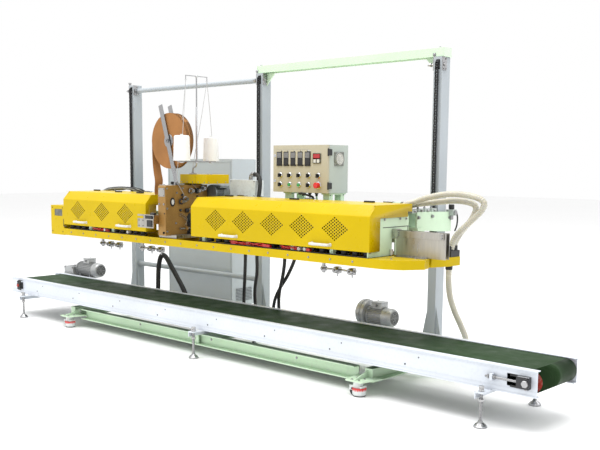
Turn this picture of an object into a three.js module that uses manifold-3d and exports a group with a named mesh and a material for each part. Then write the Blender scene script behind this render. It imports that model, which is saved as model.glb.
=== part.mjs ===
// Bag closer sewing machine: a floor conveyor carries filled bags past a sewing head that
// rides up and down on three chain-lifted posts.
// Millimetres, +Z up. X runs along the conveyor towards the infeed end, Y runs away from the operator.
// Inside this file Y = 0 is the sewing line; the exported group is moved to the centre of its footprint.
import * as THREE from 'three';
import { mergeVertices } from 'three/addons/utils/BufferGeometryUtils.js';
import Module from 'manifold-3d';

const wasm = await Module();
wasm.setup();

// ---------------------------------------------------------------- driving dimensions
const GAP = 0.4;                      // air left between two separate pieces that touch
const FOOTPRINT_CENTRE = { x: 19.5, y: 305.5 };

const CONVEYOR = {
  left: -2520, right: 2545,           // ends of the side panels
  halfWidth: 220, wall: 30,           // outer faces at +-halfWidth
  bottom: 187, top: 324,
  beltHalfWidth: 184, belt: 4, drum: 58, axisZ: 258,
  driveX: -2368, tailX: 2497,
  feetX: [-2212, 32, 2276], footY: 289,
};
const POST = {
  xs: { left: -1640, mid: -89, right: 1455 },
  wide: 60, front: 458, deep: 88, foot: 146, top: 1980,
};
const BASE = {
  low: 64, high: 146, left: -1600, right: 1448,
  frontY: -185, blowerY: 314, rearY: 850, rail: 55,
};
const HEAD = { left: -1613, trayLow: 748, trayTop: 800, slot: 14, front: -252, rear: 205 };
const COVER = { front: -247, rear: 155, low: 834, shoulder: 1034, top: 1096, chamfer: 56, sheet: 3 };
const LEFT_COVER = { from: -1610, to: -537, handles: [-1360, -793], handleZ: 862 };
const RIGHT_COVER = { from: -33, to: 1505, handles: [349, 1147], handleZ: 858 };
const SEWING = { x0: -360, x1: -277, front: -272, rear: 112, low: 820, top: 1172 };
const GUARD = { x0: -369, x1: -86, front: -64, rear: 152, low: 1184, top: 1248 };
const TAPE = { x: -385, z: 1482, y: -118, radius: 195, wide: 62, armGap: 8, armTopZ: 1733 };
const STAND = { x: -234, y: -20, plateZ: 1342, topZ: 1930, skew: 70, reach: 195, cone: 58, coneHigh: 172 };
const CONTROL = { x0: 330, x1: 820, front: 180, rear: 384, low: 1138, top: 1450, door: 16 };
const CABINET = { x0: -1334, x1: -538, front: 600, rear: 862, low: 188, top: 1362, door: 18 };
const CHAIN = { thick: 13, wide: 20, anchorZ: 735, axisZ: 1934, axisY: 475, sprocket: 21.5 };
const BELT_TRACK = { from: 30, to: 1470, inner: 16, outer: 62, low: 806, high: 832 };

// ---------------------------------------------------------------- paints
const paint = (color, roughness, metalness) =>
  new THREE.MeshStandardMaterial({ color, roughness, metalness });
const MINT = paint(0xb9d8b4, 0.45, 0.1);
const YELLOW = paint(0xf5cf00, 0.35, 0.05);
const POST_GREY = paint(0x8f9aa0, 0.5, 0.2);
const WHITE_PANEL = paint(0xe4e9ee, 0.4, 0.2);
const CABINET_GREY = paint(0x9aa3a2, 0.5, 0.1);
const CREAM = paint(0xc9c2a2, 0.5, 0.1);
const GREEN_BELT = paint(0x3a4f33, 0.7, 0);
const BLACK = paint(0x1a1a1a, 0.6, 0);
const STEEL = paint(0xb8babb, 0.3, 0.9);
const CAST_GOLD = paint(0xb08a40, 0.45, 0.4);
const MOTOR_SILVER = paint(0xb5b8b8, 0.45, 0.6);
const MOTOR_DARK = paint(0x50585a, 0.6, 0.3);
const KRAFT = paint(0xa4703a, 0.8, 0);
const THREAD = paint(0xf2f2ef, 0.9, 0);
const HOSE = paint(0xd4cdb4, 0.5, 0);
const RED = paint(0xcc2320, 0.4, 0);
const GREEN = paint(0x2f9a4a, 0.4, 0);
const DRUM_RED = paint(0x9a2a1e, 0.5, 0.1);

// ---------------------------------------------------------------- solids
function solidOf(geometry) {
  const bare = geometry.clone();
  bare.deleteAttribute('normal');
  bare.deleteAttribute('uv');
  const merged = mergeVertices(bare, 1e-4);
  return new wasm.Manifold(new wasm.Mesh({
    numProp: 3,
    vertProperties: new Float32Array(merged.attributes.position.array),
    triVerts: new Uint32Array(merged.index.array),
  }));
}

const join = (...solids) => solids.flat().reduce((whole, next) => whole.add(next));
const cut = (solid, ...tools) => tools.flat().reduce((rest, tool) => rest.subtract(tool), solid);

// A box from its low and high corners.
function block(x0, x1, y0, y1, z0, z1) {
  const geometry = new THREE.BoxGeometry(x1 - x0, y1 - y0, z1 - z0);
  geometry.translate((x0 + x1) / 2, (y0 + y1) / 2, (z0 + z1) / 2);
  return solidOf(geometry);
}

// A geometry modelled along +Z, laid along the axis asked for.
function layAlong(geometry, axis) {
  if (axis === 'x') geometry.rotateY(Math.PI / 2);
  if (axis === 'y') geometry.rotateX(-Math.PI / 2);
  return geometry;
}

// A round bar along an axis, from one end to the other, through the point `at` on the other two axes.
function rod(axis, from, to, at, radius, sides = 16, farRadius = radius) {
  const geometry = new THREE.CylinderGeometry(farRadius, radius, to - from, sides);
  geometry.rotateX(Math.PI / 2);
  layAlong(geometry, axis);
  const middle = (from + to) / 2;
  const place = { x: [middle, at[0], at[1]], y: [at[0], middle, at[1]], z: [at[0], at[1], middle] }[axis];
  geometry.translate(...place);
  return solidOf(geometry);
}

// A ring around an axis: outer and inner radius, from one end to the other.
const ring = (axis, from, to, at, outer, inner, sides = 24) =>
  cut(rod(axis, from, to, at, outer, sides), rod(axis, from - 1, to + 1, at, inner, sides));

// A flat outline in X-Z, pulled along Y.
function profileAlongY(points, y0, y1, holes = []) {
  const shape = new THREE.Shape(points.map(([x, z]) => new THREE.Vector2(x, z)));
  shape.holes = holes;
  const geometry = new THREE.ExtrudeGeometry(shape,
    { depth: y1 - y0, bevelEnabled: false, curveSegments: 12 });
  geometry.rotateX(Math.PI / 2);
  geometry.translate(0, y1, 0);
  return solidOf(geometry);
}

// A flat outline in Y-Z, pulled along X.
function profileAlongX(points, x0, x1) {
  const shape = new THREE.Shape(points.map(([y, z]) => new THREE.Vector2(y, z)));
  const geometry = new THREE.ExtrudeGeometry(shape,
    { depth: x1 - x0, bevelEnabled: false, curveSegments: 8 });
  geometry.rotateX(Math.PI / 2);
  geometry.rotateZ(Math.PI / 2);
  geometry.translate(x0, 0, 0);
  return solidOf(geometry);
}

// A flat outline in X-Y, raised from z0 to z1.
function plate(points, z0, z1) {
  const shape = new THREE.Shape(points.map(([x, y]) => new THREE.Vector2(x, y)));
  const geometry = new THREE.ExtrudeGeometry(shape, { depth: z1 - z0, bevelEnabled: false });
  geometry.translate(0, 0, z0);
  return solidOf(geometry);
}

// A round tube that follows a smooth curve through its points.
function tube(points, radius, steps, sides = 8) {
  const section = new THREE.Shape();
  for (let side = 0; side < sides; side += 1) {
    const angle = (2 * Math.PI * side) / sides;
    const corner = [radius * Math.cos(angle), radius * Math.sin(angle)];
    if (side === 0) section.moveTo(...corner);
    else section.lineTo(...corner);
  }
  const stops = points.map((point) => new THREE.Vector3(...point));
  const path = new THREE.CatmullRomCurve3(stops, false, 'centripetal');
  return solidOf(new THREE.ExtrudeGeometry(section, { steps, extrudePath: path, bevelEnabled: false }));
}

// A straight flat bar between two points of one X-Z plane.
function slantedBar(bottom, top, width, y0, y1) {
  const along = new THREE.Vector2(top[0] - bottom[0], top[1] - bottom[1]).normalize();
  const side = [(-along.y * width) / 2, (along.x * width) / 2];
  const corners = [
    [bottom[0] + side[0], bottom[1] + side[1]],
    [bottom[0] - side[0], bottom[1] - side[1]],
    [top[0] - side[0], top[1] - side[1]],
    [top[0] + side[0], top[1] + side[1]],
  ];
  return profileAlongY(corners, y0, y1);
}

const machine = new THREE.Group();
machine.position.set(-FOOTPRINT_CENTRE.x, -FOOTPRINT_CENTRE.y, 0);

function add(name, solid, material) {
  const mesh = solid.getMesh();
  const geometry = new THREE.BufferGeometry();
  geometry.setAttribute('position', new THREE.BufferAttribute(mesh.vertProperties, 3));
  geometry.setIndex(new THREE.BufferAttribute(mesh.triVerts, 1));
  const piece = new THREE.Mesh(geometry, material);
  piece.name = name;
  machine.add(piece);
}

// ---------------------------------------------------------------- base frame and casters
// A steel channel whose open side faces `open` (+1 or -1 along the axis across it).
function channelAlongX(x0, x1, y0, y1, z0, z1, open) {
  const wall = 7;
  const pocket = open > 0 ? block(x0 - 1, x1 + 1, y0 + wall, y1 + 1, z0 + wall, z1 - wall)
    : block(x0 - 1, x1 + 1, y0 - 1, y1 - wall, z0 + wall, z1 - wall);
  return cut(block(x0, x1, y0, y1, z0, z1), pocket);
}

const CASTERS = [
  ['caster_front_left', BASE.left + 42, -252],
  ['caster_front_right', BASE.right, -252],
  ['caster_rear_left', BASE.left + 42, BASE.rearY + 36],
  ['caster_rear_right', BASE.right, BASE.rearY + 36],
];
const CASTER = { plate: 6, top: 88, plateRadius: 34 };

function baseFrame() {
  const half = BASE.rail / 2;
  const rails = [
    channelAlongX(BASE.left + 110, BASE.right - 90, BASE.frontY, BASE.frontY + BASE.rail,
      BASE.low, BASE.high, -1),
    channelAlongX(POST.xs.mid, BASE.right, BASE.blowerY, BASE.blowerY + BASE.rail, BASE.low, BASE.high, -1),
    channelAlongX(BASE.left, BASE.right, BASE.rearY - BASE.rail, BASE.rearY, BASE.low, BASE.high, 1),
  ];
  const beams = Object.values(POST.xs).map((x) =>
    cut(block(x - half, x + half, BASE.frontY + 20, BASE.rearY - 10, BASE.low, BASE.high),
      block(x - half + 7, x + half + 1, BASE.frontY + 30, BASE.rearY - 20, BASE.low + 7, BASE.high - 7)));
  const seats = Object.values(POST.xs).map((x) =>
    block(x - 95, x + 95, POST.front - 25, POST.front + POST.deep + 25, BASE.high - 4, BASE.high));
  const corners = CASTERS.map(([, x, y]) => {
    const inward = y < 0 ? BASE.frontY + 40 : BASE.rearY - 20;
    const reach = y < 0 ? y - 48 : y + 48;
    const wing = plate([[x - 58, reach], [x + 58, reach], [x + 92, inward], [x - 92, inward]],
      CASTER.top + GAP, CASTER.top + 8);
    const gusset = profileAlongX([[reach, CASTER.top + 6], [inward, CASTER.top + 6], [inward, BASE.high - 4]],
      x - 4, x + 4);
    return join(wing, gusset);
  });
  return join(rails, beams, seats, corners);
}

function caster(x, y) {
  const housing = join(
    rod('z', CASTER.top - CASTER.plate, CASTER.top, [x, y], CASTER.plateRadius, 20),
    rod('z', 46, CASTER.top - 2, [x, y], 30, 16),
    block(x - 46, x + 40, y - 24, y + 24, 34, BASE.low - 2),
    rod('z', 12, 40, [x + 8, y], 40, 20),
  );
  const wheel = rod('y', -15, 15, [x - 26, 27], 25, 16).translate([0, y, 0]);
  const pad = rod('z', 0, 14, [x + 8, y], 36, 20);
  return join(housing, wheel, pad);
}

add('base_frame', baseFrame(), MINT);
CASTERS.forEach(([name, x, y]) => add(name, caster(x, y), WHITE_PANEL));

// ---------------------------------------------------------------- posts, tubes, beam
function post(x) {
  const half = POST.wide / 2;
  const shaft = block(x - half, x + half, POST.front, POST.front + POST.deep, POST.foot + GAP, POST.top);
  const gussets = [-1, 1].map((side) => profileAlongY(
    [[x + side * (half - 2), POST.foot + GAP], [x + side * (half + 60), POST.foot + GAP],
      [x + side * (half - 2), POST.foot + 310]], POST.front + 10, POST.front + 18));
  // a pocket in the post's head lets the sprocket stand half inside it
  const pocket = block(x - 14, x + 14, POST.front - 1, CHAIN.axisY + CHAIN.sprocket + 6,
    CHAIN.axisZ - CHAIN.sprocket - 8, CHAIN.axisZ + CHAIN.sprocket + 8);
  const bores = rod('x', x - 60, x + 60, [CHAIN.axisY, CHAIN.axisZ], 8.5, 16);
  const wall = 5;
  const hollow = block(x - half + wall, x + half - wall, POST.front + wall, POST.front + POST.deep - wall,
    POST.foot - 1, POST.top - wall);
  return cut(join(cut(shaft, hollow), gussets), pocket, bores);
}

function topTube() {
  const from = POST.xs.left + POST.wide / 2 + GAP;
  const to = POST.xs.mid - POST.wide / 2 - GAP;
  return rod('x', from, to, [POST.front + 44, CHAIN.axisZ], 19, 16);
}

function lowerTube() {
  const from = POST.xs.left + POST.wide / 2 + GAP;
  const to = POST.xs.mid - POST.wide / 2 - GAP;
  return rod('x', from, to, [POST.front + 44, 458], 20, 16);
}

function topBeam() {
  const x0 = POST.xs.mid - 26;
  const x1 = POST.xs.right + POST.wide / 2 + 8;
  const y0 = POST.front + 6;
  const y1 = POST.front + POST.deep - 4;
  const bar = block(x0, x1, y0, y1, POST.top + GAP, POST.top + 54);
  return cut(bar, block(x0 + 5, x1 - 5, y0 + 5, y1 - 5, POST.top - 1, POST.top + 49));
}

add('post_left', post(POST.xs.left), POST_GREY);
add('post_mid', post(POST.xs.mid), POST_GREY);
add('post_right', post(POST.xs.right), POST_GREY);
add('top_tube', topTube(), POST_GREY);
add('lower_tube', lowerTube(), POST_GREY);
add('top_beam', topBeam(), MINT);

// ---------------------------------------------------------------- lift chains and sprockets
function sprocket(x) {
  return join(rod('x', x - 8, x + 8, [CHAIN.axisY, CHAIN.axisZ], CHAIN.sprocket, 20),
    rod('x', x - 46, x + 46, [CHAIN.axisY, CHAIN.axisZ], 8, 16));
}

// The chain's front run; its back face is tangent to the sprocket.
const chainBack = CHAIN.axisY - CHAIN.sprocket - GAP;

function chain(x) {
  return block(x - CHAIN.wide / 2, x + CHAIN.wide / 2, chainBack - CHAIN.thick, chainBack,
    CHAIN.anchorZ + GAP, CHAIN.axisZ);
}

Object.entries(POST.xs).forEach(([side, x]) => {
  add(`sprocket_${side}`, sprocket(x), STEEL);
  add(`chain_${side}`, chain(x), BLACK);
});

// ---------------------------------------------------------------- electrical cabinet
function cabinetBody() {
  const c = CABINET;
  const back = c.rear - c.door - GAP;
  const shell = block(c.x0, c.x1, c.front, back, c.low, c.top);
  const inside = block(c.x0 + 4, c.x1 - 4, c.front + 4, c.rear, c.low + 4, c.top - 4);
  const gearPlate = block(c.x0 + 40, c.x1 - 40, c.front + 2, c.front + 30, c.low + 60, c.top - 60);
  const skids = [c.x0 + 60, c.x1 - 60].map((x) =>
    block(x - 30, x + 30, c.front + 40, back, BASE.high + GAP, c.low + 2));
  return join(cut(shell, inside), gearPlate, skids);
}

function cabinetDoor() {
  const c = CABINET;
  const leaf = block(c.x0, c.x1, c.rear - c.door, c.rear, c.low, c.top);
  const latch = rod('y', c.rear - 2, c.rear + 14, [c.x1 - 60, 900], 14, 12);
  return join(leaf, latch);
}

add('cabinet', cabinetBody(), CABINET_GREY);
add('cabinet_door', cabinetDoor(), CABINET_GREY);

// ---------------------------------------------------------------- conveyor
const WINDOW = { from: 2378, to: 2512, low: 226, high: 290 };

function sidePanel(side) {
  const c = CONVEYOR;
  // a box whose Y range is given from the middle outwards, on this panel's side
  const across = (x0, x1, near, far, z0, z1) =>
    block(x0, x1, Math.min(side * near, side * far), Math.max(side * near, side * far), z0, z1);
  const inner = c.halfWidth - c.wall;
  const outer = c.halfWidth;
  const wall = cut(across(c.left, c.right, inner, outer, c.bottom, c.top),
    across(c.left - 1, c.right + 1, inner - 1, outer - 4, c.bottom + 5, c.top - 4));
  const window = across(WINDOW.from, WINDOW.to, inner - 1, outer + 1, WINDOW.low, WINDOW.high);
  const lug = across(2292, 2308, outer, outer + 26, 240, 276);
  const screwHole = rod('x', 2280, 2320, [side * (c.halfWidth + 14), c.axisZ], 8, 12);
  const bearing = join(
    across(c.driveX - 36, c.driveX + 36, outer, outer + 14, c.axisZ - 40, c.axisZ + 40),
    rod('y', Math.min(side * outer, side * (outer + 24)), Math.max(side * outer, side * (outer + 24)),
      [c.driveX, c.axisZ], 26, 16),
  );
  const shaftHole = rod('y', -400, 400, [c.driveX, c.axisZ], 13, 16);
  return cut(join(cut(wall, window), lug, bearing), screwHole, shaftHole);
}

function footBracket(x) {
  const c = CONVEYOR;
  const reach = c.footY + 24;
  const member = cut(block(x - 26, x + 26, -reach, reach, 150, c.bottom + 1),
    block(x - 20, x + 27, -reach - 1, reach + 1, 149, 180));
  const feet = [-1, 1].map((side) => join(
    rod('z', 8, 214, [x, side * c.footY], 8, 8),
    rod('z', 0, 10, [x, side * c.footY], 34, 16),
    rod('z', 9, 30, [x, side * c.footY], 26, 16, 9),
    rod('z', 186, 200, [x, side * c.footY], 14, 6),
  ));
  return join(member, feet);
}

function conveyorFrame() {
  const c = CONVEYOR;
  const bed = block(c.driveX + 90, c.tailX - 110, -(c.halfWidth - 2), c.halfWidth - 2, 309, 313);
  return join(sidePanel(-1), sidePanel(1), bed, c.feetX.map(footBracket));
}

function beltOutline(radius) {
  const c = CONVEYOR;
  const path = new THREE.Shape();
  path.moveTo(c.driveX, c.axisZ - radius);
  path.lineTo(c.tailX, c.axisZ - radius);
  path.absarc(c.tailX, c.axisZ, radius, -Math.PI / 2, Math.PI / 2, false);
  path.lineTo(c.driveX, c.axisZ + radius);
  path.absarc(c.driveX, c.axisZ, radius, Math.PI / 2, (3 * Math.PI) / 2, false);
  return path;
}

function conveyorBelt() {
  const c = CONVEYOR;
  const outer = beltOutline(c.drum + c.belt);
  outer.holes = [beltOutline(c.drum)];
  const geometry = new THREE.ExtrudeGeometry(outer,
    { depth: 2 * c.beltHalfWidth, bevelEnabled: false, curveSegments: 14 });
  geometry.rotateX(Math.PI / 2);
  geometry.translate(0, c.beltHalfWidth, 0);
  return solidOf(geometry);
}

function driveRoller() {
  const c = CONVEYOR;
  const drum = cut(rod('y', -182, 182, [c.driveX, c.axisZ], c.drum - 1.2, 32),
    rod('y', -170, 190, [c.driveX, c.axisZ], c.drum - 8, 16));
  return join(drum, rod('y', -256, 256, [c.driveX, c.axisZ], 12.4, 16));
}

function takeUp() {
  const c = CONVEYOR;
  const shaft = rod('y', -252, 252, [c.tailX, c.axisZ], 12, 16);
  const sides = [-1, 1].map((side) => {
    const near = side * 192;
    const far = side * 246;
    const holder = block(c.tailX - 52, c.tailX + 14, Math.min(near, far), Math.max(near, far),
      WINDOW.low + 1, WINDOW.high - 1);
    const screw = rod('x', 2262, c.tailX - 45, [side * (c.halfWidth + 14), c.axisZ], 6, 10);
    const nut = rod('y', Math.min(side * 244, side * 262), Math.max(side * 244, side * 262),
      [c.tailX, c.axisZ], 19, 6);
    return join(holder, screw, nut);
  });
  return join(shaft, sides);
}

function tailRoller() {
  const c = CONVEYOR;
  const at = [c.tailX, c.axisZ];
  return cut(ring('y', -182, 182, at, c.drum - 1.2, 13.2, 32), ring('y', -170, 190, at, c.drum - 8, 22, 16));
}

add('conveyor_frame', conveyorFrame(), WHITE_PANEL);
add('conveyor_belt', conveyorBelt(), GREEN_BELT);
add('drive_roller', driveRoller(), DRUM_RED);
add('take_up', takeUp(), STEEL);
add('tail_roller', tailRoller(), DRUM_RED);

// A squirrel-cage motor lying along X, with its terminal box and the gearbox or fan volute at one end.
function motor(x0, x1, y, z, radius) {
  return join(
    rod('x', x0, x1 - 40, [y, z], radius, 20),
    rod('x', x1 - 41, x1, [y, z], radius * 0.94, 20, radius * 0.8),
    block((x0 + x1) / 2 - 55, (x0 + x1) / 2 + 30, y - 38, y + 38, z + radius - 12, z + radius + 34),
    block(x0 + 20, x1 - 60, y - radius * 0.9, y + radius * 0.9, z - radius - 8, z - radius + 20),
  );
}

function conveyorMotor() {
  const c = CONVEYOR;
  const y = 350;
  const gearbox = join(
    block(c.driveX - 72, c.driveX + 72, 262, 400, c.axisZ - 20, c.axisZ + 130),
    rod('y', 258, 264, [c.driveX, c.axisZ + 30], 50, 20),
  );
  const mounting = block(c.driveX - 60, c.driveX + 60, c.halfWidth + GAP, 266, 300, 322);
  return join(gearbox, motor(c.driveX + 60, -1985, y, c.axisZ + 112, 66), mounting);
}

function suctionBlower() {
  const y = 340;
  const z = 354;
  const volute = rod('x', 1000, 1066, [y, z + 14], 84, 24);
  const inlet = rod('x', 956, 1004, [y, z + 14], 24, 12);
  const stand = [1090, 1180].map((x) => block(x - 20, x + 20, y - 24, y + 24, BASE.high + GAP, z - 50));
  return join(volute, inlet, motor(1062, 1262, y, z, 62), stand);
}

add('conveyor_motor', conveyorMotor(), MOTOR_SILVER);
add('suction_blower', suctionBlower(), MOTOR_SILVER);

// ---------------------------------------------------------------- carriage: everything above rides on it
function carriage() {
  const pieces = [block(POST.xs.left - 44, POST.xs.right + 54, 214, 262, 852, 950)];
  Object.values(POST.xs).forEach((x) => {
    const half = POST.wide / 2 + 4;
    [-1, 1].forEach((side) => {
      const inner = x + side * half;
      const outer = x + side * (half + 12);
      const cheek = profileAlongX([[216, 860], [300, 930], [452, 918], [585, 912], [585, 1036], [216, 1046]],
        Math.min(inner, outer), Math.max(inner, outer));
      pieces.push(cheek);
    });
    pieces.push(block(x - half - 10, x + half + 10, chainBack + 0.6, POST.front - 1, 925, 1030));
    pieces.push(rod('x', x - half - 2, x + half + 2, [POST.front + POST.deep + 14, 940], 12, 12));
    // the chain's lower end is pinned to a hanger under the carriage
    pieces.push(block(x - 9, x + 9, chainBack + 0.6, POST.front - 1, CHAIN.anchorZ - 17, 930));
    pieces.push(block(x - 9, x + 9, chainBack - CHAIN.thick, POST.front - 1,
      CHAIN.anchorZ - 17, CHAIN.anchorZ));
  });
  return join(pieces);
}

add('carriage', carriage(), MINT);

// ---------------------------------------------------------------- trays with the bag slot between them
function trayHalf(outline, pocket) {
  const body = plate(outline, HEAD.trayLow, HEAD.trayTop);
  return cut(body, block(...pocket, HEAD.trayLow + 4, HEAD.trayTop + 1));
}

// A sensor bracket under the tray: a pin, a knuckle and a rod with two square blocks.
function sensorRail(x, y) {
  const rail = HEAD.trayLow - 46;
  return join(
    rod('z', rail - 12, HEAD.trayLow + 2, [x, y], 7, 10),
    block(x - 14, x + 14, y - 12, y + 12, rail - 14, rail + 14),
    rod('x', x, x + 240, [y, rail], 6, 10),
    [110, 222].map((step) => block(x + step - 18, x + step + 18, y - 14, y + 14, rail - 20, rail + 18)),
  );
}

// The drive's box at the outfeed end, welded to the front tray.
function endBox() {
  const shell = block(-1800, HEAD.left + 1, -247, -HEAD.slot - 4, 744, 981);
  const window = block(-1748, -1634, -248, -243, 897, 951);
  return cut(shell, window, block(-1796, HEAD.left - 4, -243, -HEAD.slot - 8, 740, 977));
}

function trayFront() {
  const outline = [[HEAD.left, HEAD.front], [1606, HEAD.front], [1712, -206], [1778, -96], [1752, -HEAD.slot],
    [HEAD.left, -HEAD.slot]];
  const half = trayHalf(outline, [HEAD.left + 4, 1500, HEAD.front + 4, -HEAD.slot - 4]);
  return join(half, endBox(), [-1215, -705, 1085].map((x) => sensorRail(x, -150)));
}

function trayRear() {
  const outline = [[-1770, HEAD.slot], [1748, HEAD.slot], [1764, 70], [1786, 130], [1790, 246], [1700, 252],
    [1640, HEAD.rear], [-1770, HEAD.rear]];
  return trayHalf(outline, [-1766, 1500, HEAD.slot + 4, HEAD.rear - 4]);
}

add('tray_front', trayFront(), YELLOW);
add('tray_rear', trayRear(), YELLOW);

// ---------------------------------------------------------------- bag carrying belts on their tracks
function carryBelt(side) {
  const t = BELT_TRACK;
  const middle = side * (t.inner + t.outer) / 2;
  const radius = (t.outer - t.inner) / 2;
  const path = new THREE.Shape();
  path.moveTo(t.from, middle - radius);
  path.lineTo(t.to - 60, middle - radius);
  path.absarc(t.to - 60, middle, radius, -Math.PI / 2, Math.PI / 2, false);
  path.lineTo(t.from, middle + radius);
  path.absarc(t.from, middle, radius, Math.PI / 2, (3 * Math.PI) / 2, false);
  const geometry = new THREE.ExtrudeGeometry(path,
    { depth: t.high - t.low, bevelEnabled: false, curveSegments: 8 });
  geometry.translate(0, 0, t.low);
  return solidOf(geometry);
}

add('front_carry_belt', carryBelt(-1), BLACK);
add('rear_carry_belt', carryBelt(1), BLACK);

// The end plate closes the long hood at the infeed; the bag's mouth runs in through its slot.
function endPlate() {
  const wall = block(1484, 1490, -240, 148, HEAD.trayTop + GAP, 1026);
  const mouth = block(1480, 1500, -HEAD.slot, HEAD.slot, 700, 950);
  const foot = [-1, 1].map((side) => block(1440, 1484 + 2, side > 0 ? 60 : -190, side > 0 ? 140 : -66,
    HEAD.trayTop + GAP, HEAD.trayTop + 5));
  return join(cut(wall, mouth), foot);
}

function infeedGuide() {
  const sheets = [-1, 1].map((side) => {
    const face = side * (HEAD.slot + 2);
    const sheet = block(1524, 1862, Math.min(face, face + side * 3), Math.max(face, face + side * 3),
      HEAD.trayTop + 2 + GAP, 950);
    const rail = block(1524, 1850, Math.min(face + side * 3, face + side * 11),
      Math.max(face + side * 3, face + side * 11), 912, 948);
    const foot = block(1540, 1740, Math.min(face, face + side * 40), Math.max(face, face + side * 40),
      HEAD.trayTop + GAP, HEAD.trayTop + 4);
    return join(sheet, rail, foot);
  });
  // a bridge over the bag's mouth holds the two sheets together at the hood's end
  const bridge = block(1498, 1530, -HEAD.slot - 10, HEAD.slot + 10, 951, 956);
  const cheeks = [-1, 1].map((side) => block(1498, 1530, side > 0 ? HEAD.slot + 2 : -HEAD.slot - 10,
    side > 0 ? HEAD.slot + 10 : -HEAD.slot - 2, 900, 952));
  return join(sheets, cheeks, bridge);
}

add('end_plate', endPlate(), MINT);
add('infeed_guide', infeedGuide(), STEEL);

// ---------------------------------------------------------------- hinged hoods
// A folded sheet hood: upright front, sloping shoulder, flat top, short rear lip and an end wall at each end.
function hood({ from, to, handles, handleZ }) {
  const c = COVER;
  const t = c.sheet;
  const outer = [[c.front, c.low], [c.front, c.shoulder], [c.front + c.chamfer, c.top], [c.rear, c.top],
    [c.rear, c.low]];
  const inner = [[c.front + t, c.low - 9], [c.front + t, c.shoulder - t / 2],
    [c.front + c.chamfer + t / 2, c.top - t], [c.rear - t, c.top - t], [c.rear - t, c.low - 9]];
  const rearOpening = block(from - 9, to + 9, c.rear - 40, c.rear + 9, c.low - 9, c.top - 44);
  const endOpenings = block(from - 9, to + 9, c.front + 96, c.rear - 39, c.low - 9, c.top - 74);
  const shell = cut(profileAlongX(outer, from, to), profileAlongX(inner, from + t, to - t),
    rearOpening, endOpenings);
  const grips = handles.map((x) =>
    join(rod('x', x - 85, x + 85, [c.front - 28, handleZ], 10, 12),
      [-70, 70].map((step) =>
        block(x + step - 8, x + step + 8, c.front - 28, c.front + 1, handleZ - 6, handleZ + 6))));
  return join(shell, grips);
}

add('left_cover', hood(LEFT_COVER), YELLOW);
add('right_cover', hood(RIGHT_COVER), YELLOW);

// ---------------------------------------------------------------- sewing head
const NEEDLE = { x: -262, z: 866, bar: 6, home: -30 };

function sewingHead() {
  const s = SEWING;
  const outline = [[s.front, s.low], [s.front, s.top - 12], [s.front + 12, s.top], [s.rear, s.top],
    [s.rear, 930], [-40, s.low]];
  const casting = profileAlongX(outline, s.x0, s.x1);
  const throat = block(s.x0 - 1, s.x1 + 1, -HEAD.slot - 3, HEAD.slot + 3, s.low - 40, 918);
  const base = block(s.x0 - 50, s.x1 + 60, s.front + 46, -HEAD.slot - 6, HEAD.trayTop + GAP, s.low + 4);
  const guides = [-98, -50].map((y) =>
    block(s.x1 - 2, NEEDLE.x + 12, y - 9, y + 9, NEEDLE.z - 13, NEEDLE.z + 13));
  const bore = rod('y', -160, -30, [NEEDLE.x, NEEDLE.z], NEEDLE.bar + 0.5, 12);
  const tensions = [[-100, 1074], [-138, 1057], [-48, 1131]].map((at) =>
    rod('x', s.x1 - 2, s.x1 + 26, at, 12, 12));
  const folder = join(block(-532, s.x0 + 8, s.front - 49, s.front - 39, 872, 935),
    rod('x', -533, s.x0 + 8, [s.front - 40, 958], 5, 8),
    block(-470, s.x0 + 8, s.front - 45, s.front + 46, 900, 962));
  return join(cut(join(casting, base), throat), cut(join(guides), bore), tensions, folder);
}

function needleBar() {
  return join(rod('y', -150, NEEDLE.home, [NEEDLE.x, NEEDLE.z], NEEDLE.bar, 12),
    rod('y', NEEDLE.home - 1, -HEAD.slot - 1, [NEEDLE.x, NEEDLE.z], 1.6, 8),
    rod('y', -156, -144, [NEEDLE.x, NEEDLE.z], 9, 12));
}

function beltGuard() {
  const g = GUARD;
  const shell = block(g.x0, g.x1, g.front, g.rear, g.low, g.top);
  const inside = block(g.x0 + 3, g.x1 - 3, g.front + 3, g.rear - 3, SEWING.top, g.top - 3);
  const spacer = block(g.x0, g.x0 + 40, g.front + 20, SEWING.rear - 10, SEWING.top + GAP, g.low + 6);
  return join(cut(shell, inside), spacer);
}

function sewingMotor() {
  return join(
    rod('y', 122, 275, [-250, 1116], 58, 20),
    rod('y', 118, 124, [-250, 1116], 46, 20),
    block(-300, -200, 180, 260, 1051, 1080),
    block(-226, -176, 150, 236, 1140, 1166),
  );
}

add('sewing_head', sewingHead(), CAST_GOLD);
add('needle_bar', needleBar(), STEEL);
add('belt_guard', beltGuard(), YELLOW);
add('sewing_motor', sewingMotor(), MOTOR_DARK);

// ---------------------------------------------------------------- crepe tape reel and its arms
function tapeArms() {
  const t = TAPE;
  const lean = -0.315;
  const atHeight = (z) => t.x + (z - t.z) * lean;
  const foot = [atHeight(SEWING.top + 6), SEWING.top + 6];
  const tip = [atHeight(t.armTopZ), t.armTopZ];
  const reach = t.wide / 2 + t.armGap;
  // the front bar stands on the casting; the rear one hangs on the axle and steadies the reel
  const hang = [atHeight(t.z - 70), t.z - 70];
  const bars = [slantedBar(foot, tip, 40, t.y - reach - 6, t.y - reach),
    slantedBar(hang, tip, 40, t.y + reach, t.y + reach + 6)];
  const axle = rod('y', t.y - reach - 24, t.y + reach + 14, [t.x, t.z], 8, 16);
  const base = block(foot[0] - 30, foot[0] + 24, t.y - reach - 6, t.y - reach + 46,
    SEWING.top + GAP, SEWING.top + 14);
  return join(bars, axle, base);
}

function tapeRoll() {
  const t = TAPE;
  return ring('y', t.y - t.wide / 2, t.y + t.wide / 2, [t.x, t.z], t.radius, 9, 40);
}

add('tape_arms', tapeArms(), STEEL);
add('tape_roll', tapeRoll(), KRAFT);

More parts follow.
